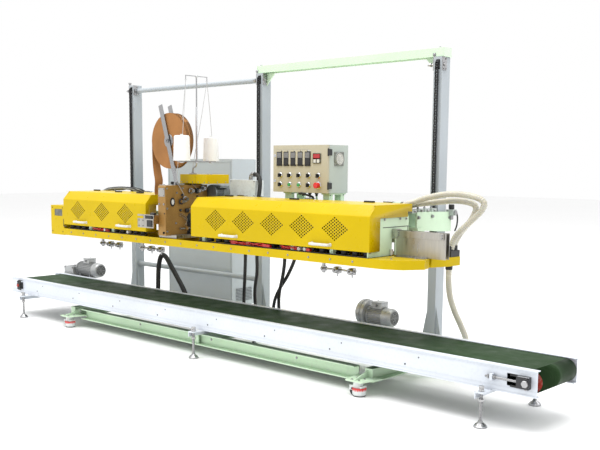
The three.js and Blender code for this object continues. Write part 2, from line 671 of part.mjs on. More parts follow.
// ---------------------------------------------------------------- thread stand with two cones
function threadStand() {
  const s = STAND;
  const cones = [-1, 1].map((end) => [s.x - end * s.skew, s.y + end * s.reach]);
  // the cone plate is a bar turned in plan, so the cones stand clear of the tape reel
  const length = Math.hypot(s.skew, s.reach);
  const [ux, uy] = [-s.skew / length, s.reach / length];
  const corner = (along, across) => [s.x + ux * along - uy * across, s.y + uy * along + ux * across];
  const bar = plate([corner(-length - 46, -14), corner(length + 46, -14), corner(length + 46, 14),
    corner(-length - 46, 14)], s.plateZ - 6, s.plateZ);
  return join(
    block(s.x - 62, s.x - 22, s.y - 18, s.y + 18, GUARD.top + GAP, GUARD.top + 8),
    tube([[s.x - 42, s.y, 1254], [s.x - 40, s.y, 1290], [s.x - 14, s.y, 1304], [s.x, s.y, s.plateZ - 4]],
      6, 10),
    rod('z', s.plateZ - 8, s.topZ, [s.x, s.y], 5, 10),
    bar,
    cones.map((at) => rod('z', s.plateZ - 1, s.plateZ + 120, at, 6, 10)),
    rod('y', s.y - 100, s.y + 100, [s.x, s.topZ], 3, 8),
    [s.y - 97, s.y + 97].map((y) => rod('z', s.topZ - 26, s.topZ, [s.x, y], 3, 8)),
  );
}

function threadCone(end) {
  const s = STAND;
  const profile = [[7, 0], [s.cone, 0], [s.cone, 14], [s.cone - 5, s.coneHigh - 8], [s.cone - 11, s.coneHigh],
    [7, s.coneHigh], [7, 0]].map(([r, z]) => new THREE.Vector2(r, z));
  const geometry = new THREE.LatheGeometry(profile, 28);
  geometry.rotateX(Math.PI / 2);
  geometry.translate(s.x - end * s.skew, s.y + end * s.reach, s.plateZ + GAP);
  return solidOf(geometry);
}

add('thread_stand', threadStand(), STEEL);
add('cone_front', threadCone(-1), THREAD);
add('cone_rear', threadCone(1), THREAD);

// ---------------------------------------------------------------- control box, its door and ten controls
const CONTROLS = { x0: 398, pitch: 85.5, upperZ: 1250, lowerZ: 1188, knob: 12.5, button: 12, depth: 9 };

function controlBox() {
  const c = CONTROL;
  const shell = cut(block(c.x0, c.x1, c.front + c.door + GAP, c.rear, c.low, c.top),
    block(c.x0 + 4, c.x1 - 4, c.front, c.rear - 4, c.low + 4, c.top - 4));
  const legs = [430, 774].flatMap((x) => [[222, 256], [338, 372]].map(([y0, y1]) =>
    block(x - 26, x + 26, y0, y1, 962 + GAP, c.low + 2)));
  const fan = ring('x', c.x1 - 1, c.x1 + 10, [c.front + 110, 1360], 44, 32, 20);
  return join(shell, legs, fan);
}

function controlDoor() {
  const c = CONTROL;
  const k = CONTROLS;
  const leaf = block(c.x0, c.x1, c.front, c.front + c.door, c.low, c.top);
  const controllers = [0, 1, 2, 3, 4].map((i) =>
    block(359 + i * 59, 359 + i * 59 + 48, c.front - 6, c.front + 1, 1322, 1418));
  const counter = block(694, 762, c.front - 6, c.front + 1, 1330, 1396);
  const pockets = [1, 2, 4].map((i) =>
    rod('y', c.front - 1, c.front + k.depth, [k.x0 + i * k.pitch, k.lowerZ], k.button + 1, 16));
  return cut(join(leaf, controllers, counter), pockets);
}

function selector(x, z) {
  const face = CONTROL.front - GAP;
  const radius = CONTROLS.knob;
  return join(rod('y', face - 8, face, [x, z], radius, 16),
    block(x - 4, x + 4, face - 24, face - 7, z - radius, z + radius));
}

const controlX = (index) => CONTROLS.x0 + index * CONTROLS.pitch;

function pushButton(x, z, head, proud) {
  const face = CONTROL.front;
  return join(rod('y', face - 7, face + 4, [x, z], CONTROLS.button, 16),
    rod('y', face - proud, face - 5, [x, z], head, 16));
}

add('control_box', controlBox(), CREAM);
add('control_door', controlDoor(), CREAM);
for (let i = 0; i < 5; i += 1) add(`selector_${i + 1}`, selector(controlX(i), CONTROLS.upperZ), BLACK);
add('selector_6', selector(controlX(0), CONTROLS.lowerZ), BLACK);
add('start_button', pushButton(controlX(1), CONTROLS.lowerZ, 11, 12), GREEN);
add('run_button', pushButton(controlX(2), CONTROLS.lowerZ, 11, 12), GREEN);
add('selector_7', selector(controlX(3), CONTROLS.lowerZ), BLACK);
add('emergency_stop', pushButton(controlX(4), CONTROLS.lowerZ, 19, 30), RED);

// ---------------------------------------------------------------- hoses and cables
const HOSE_CLAMP = { x0: 1742, x1: 1786, y0: 152, y1: 244, top: 838 };
const UPPER_HOSES = [
  [[1395, 196, 1078], [1480, 198, 1102], [1600, 200, 1138], [1740, 200, 1160], [1880, 202, 1152],
    [1956, 204, 1122], [1944, 202, 1070], [1872, 196, 1000], [1796, 182, 920], [1766, 176, 830]],
  [[1395, 246, 1078], [1480, 246, 1092], [1600, 246, 1106], [1740, 244, 1120], [1850, 240, 1112],
    [1890, 236, 1082], [1862, 232, 1014], [1800, 228, 940], [1768, 222, 880], [1762, 220, 830]],
];
const LOWER_HOSE = [[1745, 200, HEAD.trayLow - GAP], [1745, 200, 716], [1743, 204, 650], [1746, 220, 560],
  [1762, 250, 470], [1784, 290, 380], [1782, 350, 290], [1720, 410, 212], [1560, 424, 190], [1380, 424, 190],
  [1200, 436, 205], [1090, 478, 252], [1046, 506, 312], [1036, 492, 362], [1034, 450, 366]];
const CABLE_ROUTES = [
  [[40, 190, 742], [38, 196, 660], [14, 212, 500], [-22, 240, 380], [-46, 262, 250], [-46, 290, 154]],
  [[160, 190, 742], [160, 192, 660], [152, 200, 558], [118, 214, 440], [98, 236, 330], [96, 262, 154]],
  [[430, 190, 742], [428, 194, 660], [402, 204, 560], [352, 222, 430], [322, 250, 320], [310, 280, 160]],
  [[520, 190, 742], [514, 200, 680], [424, 228, 560], [322, 252, 450], [252, 272, 340], [226, 284, 160]],
];
const ARCH_CABLE = [[-1146, 330, 150], [-1142, 330, 330], [-1132, 330, 480], [-1100, 332, 572],
  [-1050, 336, 572], [-985, 340, 500], [-900, 344, 400], [-838, 348, 320], [-790, 352, 230],
  [-770, 356, 150]];

function upperHoses() {
  const h = HOSE_CLAMP;
  return join(block(h.x0, h.x1, h.y0, h.y1, HEAD.trayTop + GAP, h.top),
    UPPER_HOSES.map((points) => tube(points, 18, 20, 8)));
}

function cableDrop() {
  const strip = block(14, 546, 178, 202, HEAD.trayLow - 12, HEAD.trayLow - GAP);
  return join(strip, CABLE_ROUTES.map((points) => tube(points, 12, 12, 8)));
}

add('upper_hoses', upperHoses(), HOSE);
add('lower_hose', tube(LOWER_HOSE, 18, 32, 8), HOSE);
add('cable_drop', cableDrop(), BLACK);
add('arch_cable', tube(ARCH_CABLE, 20, 18, 8), BLACK);

export default machine;
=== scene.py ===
from math import cos, pi, radians, sin

import bmesh
import bpy
from mathutils import Matrix, Vector


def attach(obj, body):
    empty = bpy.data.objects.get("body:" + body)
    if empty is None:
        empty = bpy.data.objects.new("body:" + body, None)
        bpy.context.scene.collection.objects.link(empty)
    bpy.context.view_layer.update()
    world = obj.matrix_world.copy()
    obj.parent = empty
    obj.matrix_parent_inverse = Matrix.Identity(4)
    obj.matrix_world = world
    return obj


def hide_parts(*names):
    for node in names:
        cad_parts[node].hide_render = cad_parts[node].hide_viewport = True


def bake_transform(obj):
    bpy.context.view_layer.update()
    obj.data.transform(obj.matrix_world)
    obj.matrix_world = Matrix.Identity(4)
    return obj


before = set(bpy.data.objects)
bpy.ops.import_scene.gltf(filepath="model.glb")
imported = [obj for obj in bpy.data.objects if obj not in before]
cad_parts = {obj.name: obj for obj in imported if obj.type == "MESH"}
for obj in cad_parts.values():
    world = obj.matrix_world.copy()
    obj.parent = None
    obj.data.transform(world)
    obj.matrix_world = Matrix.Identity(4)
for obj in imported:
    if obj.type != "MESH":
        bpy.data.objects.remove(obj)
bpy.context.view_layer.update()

# Machine coordinates are millimetres with Y = 0 on the sewing line, as in the CAD source.
# The row frame is in metres, at the centre of the footprint.
ORIGIN = Vector((19.5, 305.5, 0.0))


def row(x, y, z):
    return (Vector((x, y, z)) - ORIGIN) / 1000


# ---- camera, light, floor
# Solved from the photograph's vanishing points.
CAMERA_PLACE = (4.4817, -4.3751, 1.320)
YAW, PITCH, ROLL = radians(43.13), radians(7.355), radians(-0.4376)

forward = Vector((-sin(YAW) * cos(PITCH), cos(YAW) * cos(PITCH), -sin(PITCH)))
right = forward.cross(Vector((0, 0, 1))).normalized()
up = right.cross(forward)
turn = Matrix.Rotation(ROLL, 3, forward)
right, up = turn @ right, turn @ up
camera_data = bpy.data.cameras.new("camera")
camera_data.sensor_width = 36
camera_data.lens = 51.92
camera_data.shift_x = 0.0118
camera_data.shift_y = 0.0859
camera = bpy.data.objects.new("camera", camera_data)
camera.matrix_world = Matrix((right, up, -forward)).transposed().to_4x4()
camera.location = CAMERA_PLACE
bpy.context.scene.collection.objects.link(camera)
bpy.context.scene.camera = camera

scene = bpy.context.scene
scene.view_settings.view_transform = "Standard"
scene.view_settings.look = "None"
scene.world = bpy.data.worlds.new("studio")
scene.world.use_nodes = True
sky = scene.world.node_tree.nodes["Background"]
sky.inputs["Color"].default_value = (1.0, 1.0, 1.0, 1)
sky.inputs["Strength"].default_value = 1.0


def softbox(name, place, target, size, power, colour=(1, 1, 1)):
    data = bpy.data.lights.new(name, "AREA")
    data.shape = "RECTANGLE"
    data.size, data.size_y = size
    data.energy = power
    data.color = colour
    lamp = bpy.data.objects.new(name, data)
    lamp.location = place
    lamp.rotation_euler = (Vector(target) - Vector(place)).to_track_quat("-Z", "Y").to_euler()
    scene.collection.objects.link(lamp)


softbox("top_light", (0.2, -1.2, 8.0), (0, 0, 0.6), (9.0, 6.0), 760)
softbox("key_light", (-3.6, -4.6, 3.4), (0, 0, 0.8), (3.0, 3.0), 12, (1.0, 0.99, 0.97))
softbox("rim_light", (4.8, 2.4, 3.0), (0.5, 0, 0.9), (2.5, 2.5), 40, (0.96, 0.98, 1.0))

# ---- procedural materials


class Shader:
    """A Principled material with helpers for the procedural patterns on it."""

    def __init__(self, name, roughness=0.5, metallic=0.0, **sockets):
        self.material = bpy.data.materials.new(name)
        self.material.use_nodes = True
        self.tree = self.material.node_tree
        self.bsdf = self.tree.nodes["Principled BSDF"]
        self.bsdf.inputs["Roughness"].default_value = roughness
        self.bsdf.inputs["Metallic"].default_value = metallic
        for key, value in sockets.items():
            self.bsdf.inputs[key.replace("_", " ")].default_value = value
        self.place = self.node("ShaderNodeTexCoord").outputs["Object"]

    def node(self, kind, inputs=None, **props):
        made = self.tree.nodes.new(kind)
        for key, value in props.items():
            setattr(made, key, value)
        for key, value in (inputs or {}).items():
            if isinstance(value, bpy.types.NodeSocket):
                self.tree.links.new(value, made.inputs[key])
            else:
                made.inputs[key].default_value = value
        return made

    def stretched(self, scale):
        return self.node("ShaderNodeMapping", {"Vector": self.place, "Scale": scale}).outputs[0]

    def noise(self, scale, detail=3.0, stretch=None, rough=0.55):
        at = self.stretched(stretch) if stretch else self.place
        return self.node("ShaderNodeTexNoise", {
            "Vector": at, "Scale": scale, "Detail": detail, "Roughness": rough}).outputs["Fac"]

    def ramp(self, value, low, high, to_low=0.0, to_high=1.0):
        ends = {"From Min": low, "From Max": high, "To Min": to_low, "To Max": to_high}
        return self.node("ShaderNodeMapRange", {"Value": value, **ends}).outputs[0]

    def math(self, operation, a, b=0.0):
        return self.node("ShaderNodeMath", {0: a, 1: b}, operation=operation).outputs[0]

    def mix(self, factor, a, b):
        a = (*a, 1) if isinstance(a, tuple) and len(a) == 3 else a
        b = (*b, 1) if isinstance(b, tuple) and len(b) == 3 else b
        return self.node("ShaderNodeMix", {0: factor, 6: a, 7: b}, data_type="RGBA").outputs[2]

    def between(self, factor, low, high, rgb, dark, light):
        """Goes from rgb shaded dark to rgb shaded light as the factor goes from low to high."""
        return self.mix(self.ramp(factor, low, high), shade(rgb, dark), shade(rgb, light))

    def painted_corner_shade(self, distance, low, high, most, unshaded, shade_colour):
        """Painted shade: up to `most` of a darker shade colour where other faces are closer than distance."""
        # Ambient occlusion finds the corners; the colour mixed in there is painted shade.
        corner = self.node("ShaderNodeAmbientOcclusion", {"Distance": distance}, samples=4).outputs["AO"]
        return self.mix(self.ramp(corner, low, high, most, 0.0), unshaded, shade_colour)

    def wave(self, vector, direction, **inputs):
        inputs["Vector"] = vector
        return self.node("ShaderNodeTexWave", inputs, bands_direction=direction).outputs["Fac"]

    def vector_math(self, operation, *values):
        return self.node("ShaderNodeVectorMath", dict(enumerate(values)), operation=operation)

    def colour(self, socket):
        self.tree.links.new(socket, self.bsdf.inputs["Base Color"])

    def roughness(self, value, low, high):
        self.tree.links.new(self.ramp(value, 0.3, 0.7, low, high), self.bsdf.inputs["Roughness"])

    def bump(self, *layers):
        """Each layer is a height socket, a strength and a distance in metres."""
        normal = None
        for height, strength, distance in layers:
            inputs = {"Height": height, "Strength": strength, "Distance": distance}
            if normal:
                inputs["Normal"] = normal
            normal = self.node("ShaderNodeBump", inputs).outputs[0]
        self.tree.links.new(normal, self.bsdf.inputs["Normal"])


def shade(rgb, factor):
    return tuple(min(1.0, c * factor) for c in rgb)


def paint(name, rgb, roughness, wear, primer=(0.45, 0.44, 0.42), coat=0.0, streaks=0.22, gloss=0.3):
    """Sprayed enamel: slow colour drift, orange peel, painted shade in the corners and rubbed edges."""
    s = Shader(name, roughness, Coat_Weight=coat, Specular_IOR_Level=gloss)
    drift = s.between(s.noise(1.6, 4), 0.35, 0.65, rgb, 0.94, 1.04)
    runs = s.ramp(s.noise(7.0, 5, (1, 1, 0.18)), 0.56, 0.78, 0.0, streaks)
    soiled = s.mix(runs, drift, shade(rgb, 0.72))
    # Painted shade: darker in corners and creases, found by ambient occlusion.
    corner_shaded = s.painted_corner_shade(0.035, 0.35, 0.85, 0.45, soiled, shade(rgb, 0.42))
    edge = s.ramp(s.node("ShaderNodeNewGeometry").outputs["Pointiness"], 0.515, 0.60)
    chipped = s.math("MULTIPLY", edge, s.ramp(s.noise(55, 4), 0.50, 0.62, 0.0, wear))
    s.colour(s.mix(chipped, corner_shaded, primer))
    s.roughness(s.noise(14, 4), roughness * 0.85, min(1.0, roughness * 1.25))
    s.bump((s.noise(1100, 2), 0.10, 0.0002), (s.noise(9, 2), 0.25, 0.0008))
    return s.material


def metal(name, rgb, roughness=0.3, grain=(1, 1, 14), tarnish=0.25, metallic=1.0):
    """Bare metal with a drawn grain and a little tarnish."""
    s = Shader(name, roughness, metallic)
    grain_fac = s.noise(60, 3, grain)
    base = s.between(grain_fac, 0.3, 0.7, rgb, 0.88, 1.08)
    spots = s.ramp(s.noise(24, 5), 0.55, 0.75, 0.0, tarnish)
    dulled = s.mix(spots, base, shade(rgb, 0.55))
    # Painted shade: darker where other faces are close, in corners and hollows.
    s.colour(s.painted_corner_shade(0.012, 0.3, 0.8, 0.5, dulled, shade(rgb, 0.35)))
    s.roughness(grain_fac, roughness * 0.8, roughness * 1.3)
    s.bump((s.noise(420, 2, grain), 0.12, 0.0002))
    return s.material


def plastic(name, rgb, roughness=0.45, grain=900, drift=0.12, **sockets):
    s = Shader(name, roughness, **sockets)
    s.colour(s.between(s.noise(20, 4), 0.35, 0.7, rgb, 1 - drift, 1 + drift))
    s.roughness(s.noise(35, 3), roughness * 0.85, min(1, roughness * 1.2))
    s.bump((s.noise(grain, 2), 0.15, 0.0002))
    return s.material


def cast_paint(name, rgb, dark):
    """Hammered enamel on a rough casting."""
    s = Shader(name, 0.36, 0.5)
    cells = s.node("ShaderNodeTexVoronoi", {"Vector": s.place, "Scale": 240.0},
                   feature="SMOOTH_F1").outputs["Distance"]
    base = s.between(s.noise(5, 4), 0.35, 0.65, rgb, 0.86, 1.12)
    spotted = s.mix(s.ramp(cells, 0.25, 0.6, 0.0, 0.35), base, dark)
    # Painted shade: darker where other faces are close, in corners and hollows.
    s.colour(s.painted_corner_shade(0.03, 0.35, 0.85, 0.55, spotted, shade(dark, 0.5)))
    s.roughness(s.noise(40, 3), 0.30, 0.48)
    s.bump((cells, 0.22, 0.0006), (s.noise(60, 4), 0.2, 0.0006))
    return s.material


def belt_green(name):
    """PVC belting: a fine woven emboss, faint scuffs along the run."""
    s = Shader(name, 0.6, Specular_IOR_Level=0.06)
    scuffs = s.ramp(s.noise(18, 5, (0.12, 2.2, 1)), 0.50, 0.72)
    base = s.between(s.noise(2.2, 4), 0.35, 0.7, (0.021, 0.047, 0.017), 0.88, 1.12)
    s.colour(s.mix(s.math("MULTIPLY", scuffs, 0.35), base, (0.04, 0.08, 0.035)))
    s.roughness(s.noise(9, 4), 0.42, 0.62)
    warp, weft = (s.wave(s.place, direction, Scale=300.0, Distortion=0.4) for direction in "XY")
    s.bump((s.math("MAXIMUM", warp, weft), 0.18, 0.0003), (s.noise(14, 3), 0.25, 0.0008))
    return s.material


def radius_about(s, centre):
    """Distance from an axis along Y through the centre, as a socket."""
    moved = s.vector_math("SUBTRACT", s.place, tuple(centre)).outputs[0]
    flat = s.vector_math("MULTIPLY", moved, (1, 0, 1)).outputs[0]
    return s.vector_math("LENGTH", flat).outputs["Value"]


def kraft(name, centre):
    """Crepe kraft paper, wound: fine rings on the sides and crinkles across the strip."""
    s = Shader(name, 0.82, Specular_IOR_Level=0.25)
    radius = radius_about(s, centre)
    wound = s.node("ShaderNodeTexNoise", {"W": s.math("MULTIPLY", radius, 900.0), "Scale": 1.0,
                                          "Detail": 3.0}, noise_dimensions="1D").outputs["Fac"]
    rgb = (0.36, 0.165, 0.055)
    base = s.between(s.noise(6, 4), 0.3, 0.7, rgb, 0.82, 1.15)
    s.colour(s.mix(s.ramp(wound, 0.35, 0.65, 0.0, 0.5), base, shade(rgb, 0.62)))
    s.bump((wound, 0.35, 0.0006), (s.noise(260, 3, (1, 0.15, 1)), 0.35, 0.0006))
    return s.material


def thread_wound(name, rgb):
    """Cross-wound thread: two families of steep helices."""
    s = Shader(name, 0.75, Sheen_Weight=0.25)
    first, second = (s.wave(s.stretched((lean, lean, 1)), "DIAGONAL", Scale=240.0, Distortion=1.2, Detail=2.0)
                     for lean in (0.35, -0.35))
    both = s.math("MAXIMUM", first, second)
    s.colour(s.between(both, 0.2, 0.8, rgb, 0.82, 1.0))
    s.bump((both, 0.45, 0.0008), (s.noise(30, 3), 0.3, 0.001))
    return s.material


def hose_plastic(name, rgb):
    """Milky plastic that lets some light in."""
    s = Shader(name, 0.32, Subsurface_Weight=0.25, Subsurface_Scale=0.006, Coat_Weight=0.3)
    s.bsdf.inputs["Subsurface Radius"].default_value = (1.0, 0.7, 0.35)
    s.colour(s.between(s.noise(8, 4), 0.35, 0.7, rgb, 0.86, 1.1))
    s.roughness(s.noise(16, 3), 0.26, 0.42)
    s.bump((s.noise(90, 3), 0.2, 0.0005))
    return s.material


M = {
    "mint": paint("mint_enamel", (0.60, 0.77, 0.57), 0.36, 0.15, streaks=0.1),
    "yellow": paint("yellow_powder_coat", (0.56, 0.398, 0.0), 0.30, 0.0, coat=0.02, streaks=0.05, gloss=0.14),
    "grey": paint("blue_grey_enamel", (0.38, 0.415, 0.44), 0.40, 0.2, streaks=0.08),
    "white": paint("white_profile_coat", (0.66, 0.70, 0.76), 0.32, 0.1, (0.4, 0.42, 0.44), streaks=0.04),
    "cabinet": paint("cabinet_grey", (0.47, 0.51, 0.53), 0.42, 0.2, streaks=0.08),
    "cream": paint("cream_front", (0.46, 0.43, 0.33), 0.40, 0.2, streaks=0.08),
    "pale": paint("pale_grey_green", (0.42, 0.47, 0.44), 0.42, 0.35),
    "red_oxide": paint("red_oxide", (0.36, 0.035, 0.02), 0.45, 0.6),
    "caster": paint("caster_white", (0.72, 0.75, 0.75), 0.30, 0.35),
    "gold": cast_paint("gold_hammer_paint", (0.40, 0.225, 0.06), (0.19, 0.10, 0.025)),
    "motor": cast_paint("silver_casting_paint", (0.50, 0.51, 0.51), (0.22, 0.23, 0.24)),
    "motor_dark": cast_paint("dark_casting_paint", (0.22, 0.24, 0.25), (0.07, 0.08, 0.08)),
    "steel": metal("bright_steel", (0.38, 0.38, 0.385), 0.26),
    "sheet": metal("brushed_stainless", (0.47, 0.455, 0.42), 0.32, (1, 1, 0.12), 0.12),
    "chrome": metal("chrome_plate", (0.66, 0.66, 0.67), 0.14, (1, 1, 4), 0.1),
    "yarn": plastic("sewing_thread", (0.40, 0.40, 0.40), 0.7, 700),
    "dark_steel": metal("oiled_chain_steel", (0.055, 0.055, 0.058), 0.38, (3, 3, 3), 0.3, 0.85),
    "black": plastic("black_moulding", (0.012, 0.012, 0.013), 0.42),
    "rubber": plastic("black_rubber", (0.016, 0.016, 0.016), 0.62, 500),
    "red": plastic("red_moulding", (0.62, 0.012, 0.01), 0.28, Coat_Weight=0.4),
    "green": plastic("green_moulding", (0.03, 0.30, 0.07), 0.32, Coat_Weight=0.3),
    "pale_plastic": plastic("off_white_moulding", (0.60, 0.60, 0.57), 0.4),
    "display": plastic("smoked_window", (0.17, 0.17, 0.175), 0.2, 300, 0.2, Coat_Weight=0.5),
    "red_display": plastic("red_window", (0.42, 0.01, 0.015), 0.16, 300, 0.2, Coat_Weight=0.5),
    "mesh_grey": plastic("grey_insert", (0.20, 0.205, 0.19), 0.6, 400, 0.3),
    "belt": belt_green("green_belting"),
    "kraft": kraft("kraft_crepe", row(-385, -118, 1482)),
    "thread": thread_wound("wound_thread", (0.80, 0.80, 0.80)),
    "hose": hose_plastic("translucent_hose", (0.50, 0.475, 0.385)),
}

NODE_LOOKS = {
    "mint": ["base_frame", "top_beam", "carriage", "end_plate"],
    "caster": ["caster_front_left", "caster_front_right", "caster_rear_left", "caster_rear_right"],
    "grey": ["post_left", "post_mid", "post_right", "top_tube", "lower_tube"],
    "steel": ["sprocket_left", "sprocket_mid", "sprocket_right", "take_up", "needle_bar", "tape_arms",
              "thread_stand"],
    "sheet": ["infeed_guide"],
    "dark_steel": ["chain_left", "chain_mid", "chain_right"],
    "cabinet": ["cabinet", "cabinet_door"],
    "white": ["conveyor_frame"],
    "belt": ["conveyor_belt"],
    "red_oxide": ["drive_roller", "tail_roller"],
    "motor": ["conveyor_motor", "suction_blower"],
    "yellow": ["tray_front", "tray_rear", "left_cover", "right_cover", "belt_guard"],
    "rubber": ["front_carry_belt", "rear_carry_belt", "cable_drop", "arch_cable"],
    "gold": ["sewing_head"],
    "motor_dark": ["sewing_motor"],
    "kraft": ["tape_roll"],
    "thread": ["cone_front", "cone_rear"],
    "pale": ["control_box"],
    "cream": ["control_door"],
    "hose": ["upper_hoses", "lower_hose"],
    "black": [f"selector_{i}" for i in range(1, 8)],
    "green": ["start_button", "run_button"],
    "red": ["emergency_stop"],
}
EDGE_ROUND = {"conveyor_belt": 0, "tape_roll": 0, "sewing_head": 0.004, "infeed_guide": 0.0005,
              "left_cover": 0.003, "right_cover": 0.003, "needle_bar": 0.0005}
EDGE_ROUND |= dict.fromkeys([*NODE_LOOKS["black"], *NODE_LOOKS["green"], *NODE_LOOKS["red"]], 0.0007)
USUAL_ROUND = 0.0015
SMOOTH_ANGLE = radians(38)


def round_edges(obj, width):
    bevel = obj.modifiers.new("edge", "BEVEL")
    bevel.width = width
    bevel.segments = 2
    bevel.limit_method = "ANGLE"
    bevel.angle_limit = SMOOTH_ANGLE


def soften(obj, width):
    """Welds the faceted mesh, merges its flat faces and rounds its edges."""
    obj.modifiers.new("weld", "WELD").merge_threshold = 0.00002
    flat = obj.modifiers.new("flat", "DECIMATE")
    flat.decimate_type = "DISSOLVE"
    flat.angle_limit = radians(0.5)
    if width:
        round_edges(obj, width)
    obj.modifiers.new("normals", "WEIGHTED_NORMAL").keep_sharp = True


for look, names in NODE_LOOKS.items():
    for name in names:
        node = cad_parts[name]
        node.data.materials.clear()
        node.data.materials.append(M[look])
        for polygon in node.data.polygons:
            polygon.use_smooth = True
        if node.data.attributes.get("custom_normal"):
            node.data.attributes.remove(node.data.attributes["custom_normal"])
        soften(node, EDGE_ROUND.get(name, USUAL_ROUND))


def lay(axis, along, u, v):
    return {"x": (along, u, v), "y": (u, along, v), "z": (u, v, along)}[axis]


def polar(at, radius, angle):
    return at[0] + radius * cos(angle), at[1] + radius * sin(angle)


def circle(at, radius, count):
    return [polar(at, radius, 2 * pi * i / count) for i in range(count)]


def knurl(at, root, crest, count):
    return [polar(at, crest if k % 2 else root, k * 2 * pi / count) for k in range(count)]


def screw_thread(start, turns, crest, root):
    """A lathe profile with a turn every 4 mm."""
    return [step for k in range(turns) for step in ((start + 4 * k, crest), (start + 2 + 4 * k, root))]


def smooth_path(points, step):
    """Points every step millimetres or so on a Catmull-Rom curve."""
    knots = [Vector(p) for p in points]
    knots = [2 * knots[0] - knots[1], *knots, 2 * knots[-1] - knots[-2]]
    path = []
    for a, b, c, d in zip(knots, knots[1:], knots[2:], knots[3:]):
        count = max(2, round((c - b).length / step))
        for i in range(count):
            t = i / count
            path.append(0.5 * (2 * b + (c - a) * t + (2 * a - 5 * b + 4 * c - d) * t * t
                               + (3 * b - a - 3 * c + d) * t ** 3))
    path.append(knots[-2])
    return path


class Build:
    """Collects faces in machine millimetres and turns them into one named piece."""

    def __init__(self):
        self.verts, self.faces = [], []

    def add(self, verts, faces):
        base = len(self.verts)
        self.verts += [tuple(v) for v in verts]
        self.faces += [tuple(base + i for i in face) for face in faces]
        return self

    def loft(self, rings, closed=False, loop=False):
        """Skins rings of equal count; closed caps both ends, loop joins the last ring to the first."""
        count = len(rings[0])
        verts = [v for ring in rings for v in ring]
        faces = []
        for k in range(len(rings) if loop else len(rings) - 1):
            a, b = k * count, ((k + 1) % len(rings)) * count
            faces += [(a + i, a + (i + 1) % count, b + (i + 1) % count, b + i) for i in range(count)]
        if closed:
            faces += [tuple(range(count))[::-1], tuple(range(len(verts) - count, len(verts)))]
        return self.add(verts, faces)

    def prism(self, axis, a0, a1, outline):
        return self.loft([[lay(axis, a, u, v) for u, v in outline] for a in sorted((a0, a1))], closed=True)

    def box(self, x0, x1, y0, y1, z0, z1):
        y0, y1 = sorted((y0, y1))
        return self.prism("x", x0, x1, [(y0, z0), (y1, z0), (y1, z1), (y0, z1)])

    def turned(self, axis, at, profile, sides, **ends):
        return self.loft([[lay(axis, along, *spot) for spot in circle(at, radius, sides)]
                          for along, radius in profile], **ends)

    def lathe(self, axis, at, profile, sides=24):
        """profile lists (along, radius) from one end to the other; both ends are capped."""
        return self.turned(axis, at, profile, sides, closed=True)

    def rod(self, axis, a0, a1, at, radius, sides=20, chamfer=0.0):
        a0, a1 = sorted((a0, a1))
        c = chamfer
        profile = [(a0, radius - c), (a0 + c, radius), (a1 - c, radius), (a1, radius - c)] if c else [
            (a0, radius), (a1, radius)]
        return self.lathe(axis, at, profile, sides)

    def ring(self, axis, a0, a1, at, outer, inner, sides=28):
        a0, a1 = sorted((a0, a1))
        return self.turned(axis, at, [(a0, inner), (a0, outer), (a1, outer), (a1, inner)], sides, loop=True)

    def tube(self, points, radius, sides=12, step=12.0, ribs=None):
        """A round tube along a smooth path; ribs = (pitch, height) makes a corrugated one."""
        path = smooth_path(points, ribs[0] / 5 if ribs else step)
        tangent = (path[1] - path[0]).normalized()
        side = tangent.orthogonal().normalized()
        rings, run = [], 0.0
        for i, point in enumerate(path):
            ahead = (path[min(i + 1, len(path) - 1)] - path[max(i - 1, 0)]).normalized()
            side = (side - side.dot(ahead) * ahead).normalized()
            other = ahead.cross(side)
            run += (point - path[i - 1]).length if i else 0.0
            r = radius + (ribs[1] * cos(2 * pi * run / ribs[0]) if ribs else 0.0)
            rings.append([point + r * (cos(2 * pi * k / sides) * side
                                       + sin(2 * pi * k / sides) * other) for k in range(sides)])
        return self.loft(rings, closed=True)

    def bolt(self, axis, sign, along, at, size=6.0, head=None):
        """A washer and a hexagon head that stand on the plane at `along`, towards sign."""
        high = head or size * 0.8
        for start, end, radius, sides in ((0, 1.4, size * 1.25, 16), (1.4, 1.4 + high, size, 6)):
            self.rod(axis, along + sign * start, along + sign * end, at, radius, sides, 0.6)
        return self

    def screw(self, axis, sign, along, at, radius=4.0):
        """A domed round head."""
        steps = [(0, radius), (radius * 0.35, radius * 0.94), (radius * 0.6, radius * 0.6),
                 (radius * 0.66, radius * 0.2)]
        return self.lathe(axis, at, [(along + sign * a, r) for a, r in steps], 14)

    def mesh(self, name, look, edge=0.0, solid=0.0):
        data = bpy.data.meshes.new(name)
        data.from_pydata([row(*v) for v in self.verts], [], self.faces)
        work = bmesh.new()
        work.from_mesh(data)
        if solid:
            bmesh.ops.remove_doubles(work, verts=work.verts, dist=0.00002)
        bmesh.ops.recalc_face_normals(work, faces=work.faces)
        work.to_mesh(data)
        work.free()
        data.polygons.foreach_set("use_smooth", [True] * len(data.polygons))
        data.set_sharp_from_angle(angle=SMOOTH_ANGLE)
        data.materials.append(M[look])
        made = bpy.data.objects.new(name, data)
        scene.collection.objects.link(made)
        if solid:
            sheet = made.modifiers.new("sheet", "SOLIDIFY")
            sheet.thickness = solid / 1000
            sheet.offset = 0
        if edge:
            round_edges(made, edge / 1000)
            made.modifiers.new("normals", "WEIGHTED_NORMAL").keep_sharp = True
        return made

    def ride(self, name, body, look, edge=0.0, solid=0.0, replaces=()):
        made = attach(self.mesh(name, look, edge, solid), body)
        if replaces:
            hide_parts(*replaces)
        return made


def builds(count):
    return (Build() for _ in range(count))


POSTS = {"left": -1640, "mid": -89, "right": 1455}
BASE_TOP, TRAY_TOP, END_PLATE = 146.4, 800.5, 1490

# ---- lift chains
CHAIN_Y, CHAIN_LOW, CHAIN_TOP, PITCH = 446.6, 737.0, 1934.0, 15.75
SPROCKET_Y, WRAP, LINK_HALF = 475.0, 28.4, 6.2


